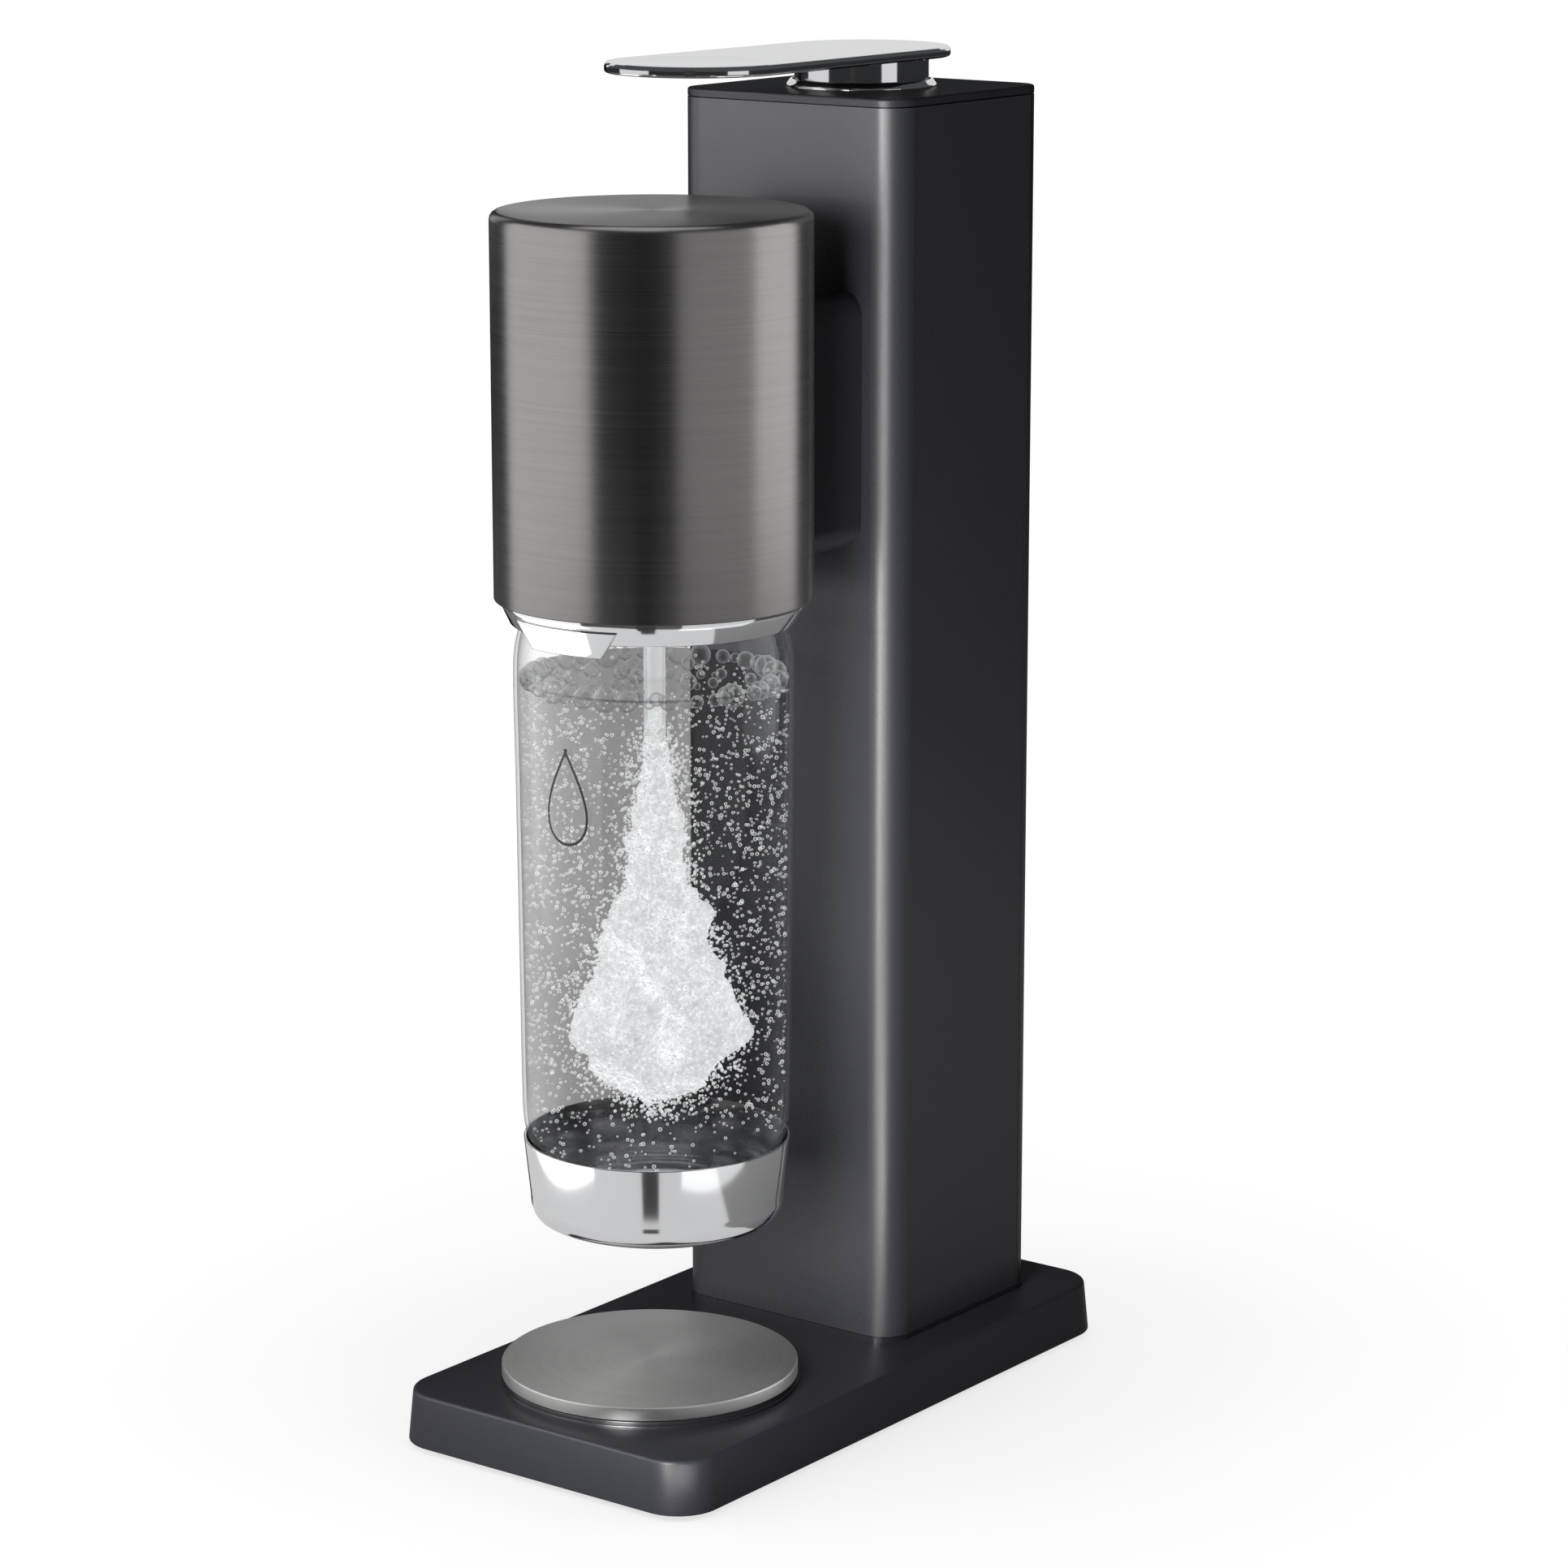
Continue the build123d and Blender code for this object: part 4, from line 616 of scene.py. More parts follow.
def hollow(bm, z, wall, depth):
    """Sinks a pocket into the flat face at height z, leaving a wall round it."""
    face = flat_face(bm, z)
    way = -1.0 if face.normal.z > 0 else 1.0
    bmesh.ops.inset_region(bm, faces=[face], thickness=wall, use_even_offset=True)
    grown = bmesh.ops.extrude_face_region(bm, geom=[face])
    moved = [v for v in grown["geom"] if isinstance(v, bmesh.types.BMVert)]
    bmesh.ops.translate(bm, vec=(0, 0, way * depth), verts=moved)
    if face.is_valid:
        bmesh.ops.delete(bm, geom=[face], context="FACES_ONLY")
    bmesh.ops.recalc_face_normals(bm, faces=bm.faces)


def piece_from(bm, name, body, finish, replaces=()):
    """Turns a bmesh into a finished piece that rides on a body."""
    mesh = bpy.data.meshes.new(name)
    bm.to_mesh(mesh)
    bm.free()
    return dress(mesh, name, body, finish, replaces)


def dress(mesh, name, body, finish, replaces=()):
    """Makes a piece of a mesh: its finish, the body it rides on, and the nodes it stands for."""
    mesh.shade_smooth()
    mesh.set_sharp_from_angle(angle=SMOOTH_ANGLE)
    mesh.materials.clear()
    mesh.materials.append(FINISHES[finish])
    piece = bpy.data.objects.new(name, mesh)
    bpy.context.scene.collection.objects.link(piece)
    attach(piece, body)
    if replaces:
        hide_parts(*replaces)
    return piece


def ball_group(name, fineness):
    """Geometry nodes that put a ball of each vertex's own size on it."""
    group = bpy.data.node_groups.new(name, "GeometryNodeTree")
    for way in ("INPUT", "OUTPUT"):
        group.interface.new_socket("Geometry", in_out=way, socket_type="NodeSocketGeometry")
    points = group.nodes.new("NodeGroupInput")
    result = group.nodes.new("NodeGroupOutput")
    ball = group.nodes.new("GeometryNodeMeshUVSphere")
    ball.inputs["Rings"].default_value = fineness
    ball.inputs["Segments"].default_value = fineness + 2
    size = group.nodes.new("GeometryNodeInputNamedAttribute")
    size.data_type = "FLOAT"
    size.inputs["Name"].default_value = "size"
    spread = group.nodes.new("GeometryNodeInstanceOnPoints")
    real = group.nodes.new("GeometryNodeRealizeInstances")
    link = group.links.new
    link(points.outputs[0], spread.inputs["Points"])
    link(ball.outputs["Mesh"], spread.inputs["Instance"])
    link(size.outputs["Attribute"], spread.inputs["Scale"])
    link(spread.outputs[0], real.inputs[0])
    link(real.outputs[0], result.inputs[0])
    return group


def beside_axis(out, turn, z):
    """The place this far from the bottle's axis."""
    return Vector((out * math.cos(turn), HEAD_Y + out * math.sin(turn), z))


def balls(name, spots, fineness, body, finish):
    """One piece of many separate balls. spots are (place, radius) pairs."""
    mesh = bpy.data.meshes.new(name + "_points")
    bm = bmesh.new()
    size = bm.verts.layers.float.new("size")
    for place, radius in spots:
        bm.verts.new(place)[size] = radius
    bm.to_mesh(mesh)
    bm.free()
    carrier = bpy.data.objects.new(name + "_points", mesh)
    bpy.context.scene.collection.objects.link(carrier)
    modifier = carrier.modifiers.new("balls", "NODES")
    modifier.node_group = ball_group(name, fineness)
    ready = carrier.evaluated_get(bpy.context.evaluated_depsgraph_get())
    result = bpy.data.meshes.new_from_object(ready)
    bpy.data.objects.remove(carrier)
    bpy.data.meshes.remove(mesh)
    result.name = name
    return dress(result, name, body, finish)


# ---------------------------------------------------------------- bottle
def bottle_outside(sizes):
    """(radius, height) points up the clear wall, from inside the cup to the neck."""
    shoulder, widest, neck_r = sizes.shoulder_z, radius_of("bottle"), 17.0 * MM
    body = [(38.2 * MM, BOTTLE_FOOT + 3.0 * MM), (39.9 * MM, CUP_TOP - 1.5 * MM),
            (41.4 * MM, CUP_TOP + 5.0 * MM), (BODY_R, BODY_LOW)]
    body += [(BODY_R + (widest - BODY_R) * t, BODY_LOW + (shoulder - BODY_LOW) * t)
             for t in (0.25, 0.5, 0.75, 1.0)]
    dome = [(0.94, 0.18), (0.80, 0.35), (0.59, 0.55), (0.325, 0.75), (0.096, 0.91), (0.0, 1.0)]
    body += [(neck_r + (widest - neck_r) * f, shoulder + (NECK_LOW - shoulder) * g) for f, g in dome]
    return body


def inside_radius(sizes, z):
    """Radius of the bottle's inner wall at a height below the shoulder."""
    floor, floor_r = CUP_LOW + 19.0 * MM, 38.4 * MM
    if z < BODY_LOW:
        share = max(0.0, (z - floor) / (BODY_LOW - floor))
        return floor_r + (BODY_R - floor_r) * share ** 0.6 - sizes.bottle_wall
    share = min(1.0, (z - BODY_LOW) / (sizes.shoulder_z - BODY_LOW))
    return BODY_R + (radius_of("bottle") - BODY_R) * share - sizes.bottle_wall


class CARBONATOR_OT_bottle(bpy.types.Operator):
    """Clear bottle with its neck ring and threads, and the mark printed on it"""

    bl_idname = "carbonator.bottle"
    bl_label = "Bottle"

    def execute(self, context):
        sizes = context.scene.carbonator_sizes
        wall, flat_r, foot_top = sizes.bottle_wall, 35.0 * MM, BOTTLE_FOOT + sizes.bottle_wall
        outside = flow(bottle_outside(sizes), 5)
        inside = [(r - wall, z) for r, z in outside[3:]]
        finish_r, ring_r, thread_r = 16.5 * MM, 20.0 * MM, 17.9 * MM
        bore = finish_r - 2.4 * MM
        ring_low, ring_top = NECK_LOW + 2.0 * MM, NECK_LOW + 4.5 * MM
        ring = [(finish_r, NECK_LOW + 1.0 * MM), (finish_r, ring_low), (ring_r, ring_low), (ring_r, ring_top),
                (finish_r, ring_top)]
        threads = []
        for z in (NECK_LOW + 10.0 * MM, NECK_LOW + 16.5 * MM):
            threads += [(finish_r, z - 1.6 * MM), (thread_r, z - 0.5 * MM), (thread_r, z + 0.5 * MM),
                        (finish_r, z + 1.6 * MM)]
        outline = [(0.0, BOTTLE_FOOT), (flat_r, BOTTLE_FOOT), *outside, *ring, *threads, (finish_r, MOUTH_Z),
                   (bore, MOUTH_Z), (bore, NECK_LOW), *reversed(inside), (flat_r, foot_top), (0.0, foot_top)]
        bm = lathe(outline, HEAD_Y, soft=[((ring_r, ring_low), 0.5 * MM)])
        piece_from(bm, "bottle_wall", "bottle", "clear_plastic", ["bottle"])
        self.print_drop(sizes)
        return {"FINISHED"}

    @staticmethod
    def print_drop(sizes):
        """The outline of a plain drop, printed on the front of the bottle."""
        centre_z, tall, line = 211.0 * MM, 30.0 * MM, 0.8 * MM
        bm = bmesh.new()
        bmesh.ops.create_circle(bm, cap_ends=True, segments=96, radius=1.0)
        for vert in bm.verts:
            turn = math.atan2(vert.co.x, -vert.co.y)
            along = (1 - math.cos(turn)) / 2
            width = math.sin(turn) * math.cos(turn / 2) ** 1.3
            vert.co = Vector((width * tall * 0.36, 0.0, tall * (along - 0.42)))
        bm.normal_update()
        bmesh.ops.inset_region(bm, faces=bm.faces[:], thickness=line, use_even_offset=True, use_boundary=True)
        inner = max(bm.faces, key=lambda face: face.calc_area())
        bmesh.ops.delete(bm, geom=[inner], context="FACES_ONLY")
        bmesh.ops.recalc_face_normals(bm, faces=bm.faces)
        wrap(bm, sizes, centre_z)
        piece_from(bm, "drop_mark", "bottle", "ink")


def wrap(bm, sizes, centre_z):
    """Lays a flat shape in the XZ plane round the bottle's front, just proud of it."""
    for vert in bm.verts:
        z = centre_z + vert.co.z
        radius = inside_radius(sizes, z) + sizes.bottle_wall + 0.06 * MM
        turn = vert.co.x / radius
        vert.co = Vector((radius * math.sin(turn), HEAD_Y - radius * math.cos(turn), z))


class CARBONATOR_OT_cup(bpy.types.Operator):
    """Polished cup pressed over the bottle's bottom"""

    bl_idname = "carbonator.cup"
    bl_label = "Bottle cup"

    def execute(self, context):
        wall, z0, z1 = 0.8 * MM, CUP_LOW, CUP_TOP
        rim_r, low_r, flat_r = radius_of("bottle_cup"), 39.7 * MM, 34.6 * MM
        foot_r, hollow_r = 25.0 * MM, 24.0 * MM
        bend = flow([(flat_r, z0), (38.0 * MM, z0 + 1.7 * MM), (39.4 * MM, z0 + 4.9 * MM),
                     (low_r, z0 + 8.2 * MM)], 6)
        inner = [(r - wall, z + wall * 0.6) for r, z in bend]
        under = z0 + 0.8 * MM
        outline = [(0.0, under), (hollow_r, under), (foot_r, z0), *bend, (rim_r, z1), (rim_r - wall, z1),
                   *reversed(inner), (hollow_r, under + wall), (0.0, under + wall)]
        soft = [((rim_r, z1), 0.3 * MM), ((rim_r - wall, z1), 0.25 * MM), ((foot_r, z0), 0.3 * MM)]
        bm = lathe(outline, HEAD_Y, soft, FINE_STEPS)
        piece_from(bm, "cup_shell", "bottle", "cup_steel", ["bottle_cup"])
        return {"FINISHED"}


class CARBONATOR_OT_water(bpy.types.Operator):
    """Water, the bubbles in it, and the plume of froth under the gas tube"""

    bl_idname = "carbonator.water"
    bl_label = "Water and froth"

    def execute(self, context):
        sizes = context.scene.carbonator_sizes
        self.fill(sizes)
        self.small_bubbles(sizes)
        self.top_bubbles(sizes)
        self.plume(sizes)
        return {"FINISHED"}

    @staticmethod
    def fill(sizes):
        """Body of water with a meniscus at the wall."""
        floor, level, gap = CUP_LOW + 19.6 * MM, sizes.water_level, 0.25 * MM
        heights = [floor + 2.0 * MM, CUP_TOP, CUP_TOP + 6.0 * MM, BODY_LOW, (CUP_TOP + level) / 2, level]
        wall = [(inside_radius(sizes, z) - gap, z) for z in heights]
        meniscus = [(0.0, 1.5), (0.5, 1.0), (1.6, 0.3), (4.0, 0.0)]
        rim = [(wall[-1][0] - inward * MM, level + rise * MM) for inward, rise in meniscus]
        outline = [(0.0, floor), (34.0 * MM, floor), *wall, *rim, (0.0, level)]
        piece_from(lathe(outline, HEAD_Y), "water", "bottle", "water")

    @staticmethod
    def small_bubbles(sizes):
        """Most cling near the wall; they are packed a little closer near the top."""
        draw = random.Random(11)
        floor, level = CUP_LOW + 21.5 * MM, sizes.water_level
        spots = []
        while len(spots) < sizes.bubble_count:
            z = floor + (level - floor) * draw.random() ** 0.85
            radius = draw.choice((0.26, 0.32, 0.38, 0.46, 0.56)) * MM * draw.uniform(0.85, 1.15)
            room = inside_radius(sizes, z) - radius - 0.5 * MM
            out = room * (1.0 - 0.42 * draw.random() ** 2.2)
            turn = draw.uniform(0, 2 * math.pi)
            patch = noise.noise(Vector((math.cos(turn) * 2.2, math.sin(turn) * 2.2, z * 45.0)))
            if patch < -0.22 and draw.random() < 0.7:
                continue
            spots.append((beside_axis(out, turn, z), radius))
        half = len(spots) // 2
        balls("bubbles_one", spots[:half], 6, "bottle", "bubble")
        balls("bubbles_two", spots[half:], 6, "bottle", "bubble")

    @staticmethod
    def top_bubbles(sizes):
        """Large bubbles that float against each other along the wall, and a few in the middle."""
        draw = random.Random(5)
        level = sizes.water_level
        spots = []
        turn = 0.0
        while turn < 2 * math.pi - 0.06:
            radius = draw.uniform(1.6, 3.9) * MM
            out = inside_radius(sizes, level) - radius - 0.6 * MM
            turn += radius / out
            spots.append((beside_axis(out, turn, level + 0.1 * radius), radius))
            turn += radius / out + draw.uniform(0.0, 0.05)
        for _ in range(46):
            radius = draw.uniform(0.9, 2.6) * MM
            out = draw.uniform(0.15, 0.86) * inside_radius(sizes, level)
            turn = draw.uniform(0, 2 * math.pi)
            spots.append((beside_axis(out, turn, level - 0.2 * radius), radius))
        balls("surface_bubbles", spots, 22, "bottle", "big_bubble")

    @staticmethod
    def plume(sizes):
        """Froth that shoots down from the tube, widens and breaks into lobes."""
        tip = low("tube_tip").z / MM
        shape = [(0.0, 110.0), (9.0, 112.0), (17.0, 118.0), (22.0, 128.0), (23.5, 138.0), (20.5, 147.0),
                 (17.5, 156.0), (14.5, 166.0), (10.5, 178.0), (8.2, 190.0), (6.6, 202.0), (4.4, 213.0),
                 (3.0, tip - 0.5), (0.0, tip - 0.2)]
        outline = flow([(r * MM, z * MM) for r, z in shape], 8)
        outline[0] = (0.0, outline[0][1])
        outline[-1] = (0.0, outline[-1][1])
        bm = lathe(outline, HEAD_Y, steps=144)
        axis = Vector((0.0, HEAD_Y, 0.0))
        for vert in bm.verts:
            out = Vector((vert.co.x, vert.co.y - HEAD_Y, 0.0))
            reach = out.length
            if reach < 0.2 * MM:
                continue
            lobes = noise.noise(vert.co * 75.0 + Vector((3.1, 0.0, 0.7))) * 0.42
            lumps = noise.fractal(vert.co * 190.0, 0.8, 2.0, 4) * 2.2 * MM
            away_from_axis = min(1.0, reach / (7.0 * MM))
            grown = reach * (1 + lobes) + lumps * away_from_axis
            place = axis + out.normalized() * max(grown, 0.3 * MM)
            vert.co = Vector((place.x, place.y, vert.co.z + lumps * 0.6 * away_from_axis))
        bmesh.ops.recalc_face_normals(bm, faces=bm.faces)
        draw = random.Random(23)
        seats = [(v.co.copy(), v.normal.copy()) for v in bm.verts]
        piece_from(bm, "froth_plume", "bottle", "froth")
        spots = []
        for _ in range(sizes.froth_count):
            place, normal = draw.choice(seats)
            radius = draw.uniform(0.28, 0.60) * MM
            away = draw.random() ** 3.4 * 8.5 * MM - 0.25 * MM
            jitter = Vector((draw.uniform(-1, 1), draw.uniform(-1, 1), draw.uniform(-1, 1))) * 0.5 * MM
            spots.append((place + normal * away + jitter, radius))
        balls("froth_bubbles", spots, 4, "bottle", "froth_bubble")


# ---------------------------------------------------------------- head
class CARBONATOR_OT_head(bpy.types.Operator):
    """Deep-drawn brushed sleeve of the head, and the chrome collar with its finger lip"""

    bl_idname = "carbonator.head"
    bl_label = "Head"

    def execute(self, context):
        sizes = context.scene.carbonator_sizes
        can = lid("head_sleeve", HEAD_Y, sizes.sheet, sizes.head_edge, sizes.edge)
        piece_from(can, "head_can", "machine", "titanium", ["head_sleeve"])
        edge_z = low("head_sleeve").z
        self.collar(edge_z)
        self.lip(edge_z, sizes.lip_half_angle)
        return {"FINISHED"}

    @staticmethod
    def collar(edge_z):
        """Ring with a cone below, that shows under the sleeve's edge."""
        top_r = radius_of("holder_collar")
        top, lowest = edge_z + 0.6 * MM, edge_z - 7.3 * MM
        low_r, ledge_r, wall = top_r - 2.7 * MM, 40.4 * MM, 1.3 * MM
        cone_top, ledge_low = edge_z - 1.6 * MM, top - 1.5 * MM
        outline = [(low_r, lowest), (top_r, cone_top), (top_r, top), (ledge_r, top), (ledge_r, ledge_low),
                   (top_r - wall, ledge_low), (top_r - wall, cone_top), (low_r - wall, lowest)]
        soft = [((low_r, lowest), 0.5 * MM), ((top_r, cone_top), 0.6 * MM),
                ((low_r - wall, lowest), 0.3 * MM)]
        bm = lathe(outline, HEAD_Y, soft, FINE_STEPS)
        piece_from(bm, "collar_ring", "holder", "chrome", ["holder_collar"])

    @staticmethod
    def lip(edge_z, half_angle):
        """Finger lip at the front of the collar. Its sides slant in towards the bottom."""
        top_r, thick = radius_of("holder_collar"), 2.2 * MM
        top, lowest = edge_z - 2.9 * MM, edge_z - 11.3 * MM
        out_top, out_low = top_r - 0.1 * MM, top_r - 2.3 * MM
        outline = [(out_low, lowest), (out_top, top), (out_top - thick, top), (out_low - thick, lowest)]
        bm = lathe(outline, HEAD_Y, steps=48, sweep=2 * half_angle)
        bmesh.ops.holes_fill(bm, edges=[e for e in bm.edges if e.is_boundary], sides=4)
        to_front = Matrix.Rotation(-math.pi / 2 - half_angle, 3, "Z")
        bmesh.ops.rotate(bm, cent=(0, HEAD_Y, 0), matrix=to_front, verts=bm.verts)
        narrowest = 0.70
        for vert in bm.verts:
            across = math.atan2(vert.co.x, HEAD_Y - vert.co.y)
            share = (vert.co.z - lowest) / (top - lowest)
            turn = across * (narrowest + (1 - narrowest) * share)
            reach = math.hypot(vert.co.x, vert.co.y - HEAD_Y)
            vert.co = Vector((reach * math.sin(turn), HEAD_Y - reach * math.cos(turn), vert.co.z))
        weld(bm)
        sharp = [e for e in bm.edges if e.calc_face_angle(0.0) > math.radians(40)]
        bevel(bm, sharp, 0.45 * MM, 4)
        piece_from(bm, "collar_lip", "holder", "chrome")


# ---------------------------------------------------------------- lever
class CARBONATOR_OT_lever(bpy.types.Operator):
    """Flat chrome lever with its thumb scoop, and the ring on the cap"""

    bl_idname = "carbonator.lever"
    bl_label = "Lever"

    def execute(self, context):
        sizes = context.scene.carbonator_sizes
        box_low, box_high = box_of("lever_paddle")
        front_r, back_r = radius_of("lever_paddle"), 27.0 * MM
        bm = bmesh.new()
        thick = box_high.z - box_low.z
        for y, radius in ((box_low.y + front_r, front_r), (box_high.y - back_r, back_r)):
            place = Matrix.Translation((0, y, (box_low.z + box_high.z) / 2))
            bmesh.ops.create_cone(bm, cap_ends=True, segments=160, radius1=radius, radius2=radius,
                                  depth=thick, matrix=place)
        hull = bmesh.ops.convex_hull(bm, input=bm.verts, use_existing_faces=False)
        spare = [g for g in hull["geom_interior"] + hull["geom_unused"] if g.is_valid]
        bmesh.ops.delete(bm, geom=[g for g in spare if isinstance(g, bmesh.types.BMVert)], context="VERTS")
        keep = {f for f in hull["geom"] if isinstance(f, bmesh.types.BMFace)}
        bmesh.ops.delete(bm, geom=[f for f in bm.faces if f not in keep], context="FACES_ONLY")
        weld(bm)
        bmesh.ops.dissolve_limit(bm, angle_limit=0.01, verts=bm.verts, edges=bm.edges, delimit=set())
        bevel(bm, rim_edges(bm, box_high.z), 1.3 * MM, 6)
        bevel(bm, rim_edges(bm, box_low.z), 0.9 * MM, 5)
        blade = piece_from(bm, "lever_blade", "lever", "chrome", ["lever_paddle"])
        self.cut_scoop(blade, sizes, box_high.z, box_low.y + 2.6 * MM + sizes.scoop_radius)
        self.cap_ring()
        return {"FINISHED"}

    @staticmethod
    def cut_scoop(blade, sizes, top, y):
        """Shallow dish with a crisp edge."""
        radius, depth = sizes.scoop_radius, sizes.scoop_depth
        ball = (radius**2 + depth**2) / (2 * depth)
        centre_z, above, parts = top - depth + ball, top + 3.0 * MM, 24
        ends = math.asin(radius * 1.06 / ball)
        turns = [ends * k / parts for k in range(parts + 1)]
        arc = [(ball * math.sin(turn), centre_z - ball * math.cos(turn)) for turn in turns]
        bm = lathe([*arc, (arc[-1][0], above), (0.0, above)], y, steps=144)
        mesh = bpy.data.meshes.new("scoop_cutter")
        bm.to_mesh(mesh)
        bm.free()
        cutter = bpy.data.objects.new("scoop_cutter", mesh)
        bpy.context.scene.collection.objects.link(cutter)
        modifier = blade.modifiers.new("scoop", "BOOLEAN")
        modifier.operation = "DIFFERENCE"
        modifier.solver = "EXACT"
        modifier.object = cutter
        ready = blade.evaluated_get(bpy.context.evaluated_depsgraph_get())
        cut = bpy.data.meshes.new_from_object(ready)
        blade.modifiers.clear()
        blade.data = cut
        cut.shade_smooth()
        cut.set_sharp_from_angle(angle=math.radians(2.5))
        bpy.data.objects.remove(cutter)
        bpy.data.meshes.remove(mesh)

    @staticmethod
    def cap_ring():
        """Ring that slopes up from the cap to the turret."""
        r, z0, z1 = radius_of("flange_ring"), low("flange_ring").z, high("flange_ring").z
        inner, step = r - 1.8 * MM, 0.6 * MM
        outer_edge, upper_edge = (r, z0 + step), (inner + step, z1)
        outline = [(inner, z0), (r, z0), outer_edge, upper_edge, (inner, z1)]
        bm = lathe(outline, COLUMN_Y, [(outer_edge, 0.25 * MM), (upper_edge, 0.2 * MM)])
        piece_from(bm, "cap_ring", "machine", "chrome", ["flange_ring"])


# ---------------------------------------------------------------- base and column
class CARBONATOR_OT_base(bpy.types.Operator):
    """Base housing, the drip disc and its stepped seat"""

    bl_idname = "carbonator.base"
    bl_label = "Base"

    def execute(self, context):
        sizes = context.scene.carbonator_sizes
        self.housing()
        disc = lid("drip_disc", DISC_Y, sizes.sheet, 0.55 * MM, sizes.edge)
        piece_from(disc, "drip_plate", "disc", "disc_steel", ["drip_disc"])
        self.seat()
        return {"FINISHED"}

    @staticmethod
    def housing():
        """Drafted shell with rounded corners, open below."""
        lowest, highest = box_of("base_housing")
        bm = block(lowest, highest, 14.25 * MM, 18)
        draft = 1.25 * MM
        top = [v for v in bm.verts if v.co.z > highest.z - TINY]
        size = highest - lowest
        shrink = Vector((1 - 2 * draft / size.x, 1 - 2 * draft / size.y, 1.0))
        bmesh.ops.scale(bm, vec=shrink, verts=top)
        bevel(bm, rim_edges(bm, highest.z), 1.1 * MM, 5)
        bevel(bm, rim_edges(bm, lowest.z), 0.5 * MM, 3)
        hollow(bm, lowest.z, 2.0 * MM, 14.0 * MM)
        piece_from(bm, "base_shell", "machine", "base_black", ["base_housing"])

    @staticmethod
    def seat():
        """Two steps, a boss inside the disc, and a spigot sunk in the base."""
        z0, top = high("base_housing").z, high("disc_seat").z
        spigot_r, spigot_z = 39.0 * MM, z0 - 0.9 * MM
        outer, boss = radius_of("disc_seat"), radius_of("drip_disc") - 1.6 * MM
        upper, first, second = outer - 0.6 * MM, z0 + 1.2 * MM, z0 + 2.4 * MM
        outline = [(0.0, spigot_z), (spigot_r, spigot_z), (spigot_r, z0), (outer, z0), (outer, first),
                   (upper, first), (upper, second), (boss, second), (boss, top), (0.0, top)]
        soft = [((outer, first), 0.3 * MM), ((upper, second), 0.25 * MM)]
        ring = lathe(outline, DISC_Y, soft)
        piece_from(ring, "seat_ring", "machine", "trim_black", ["disc_seat"])


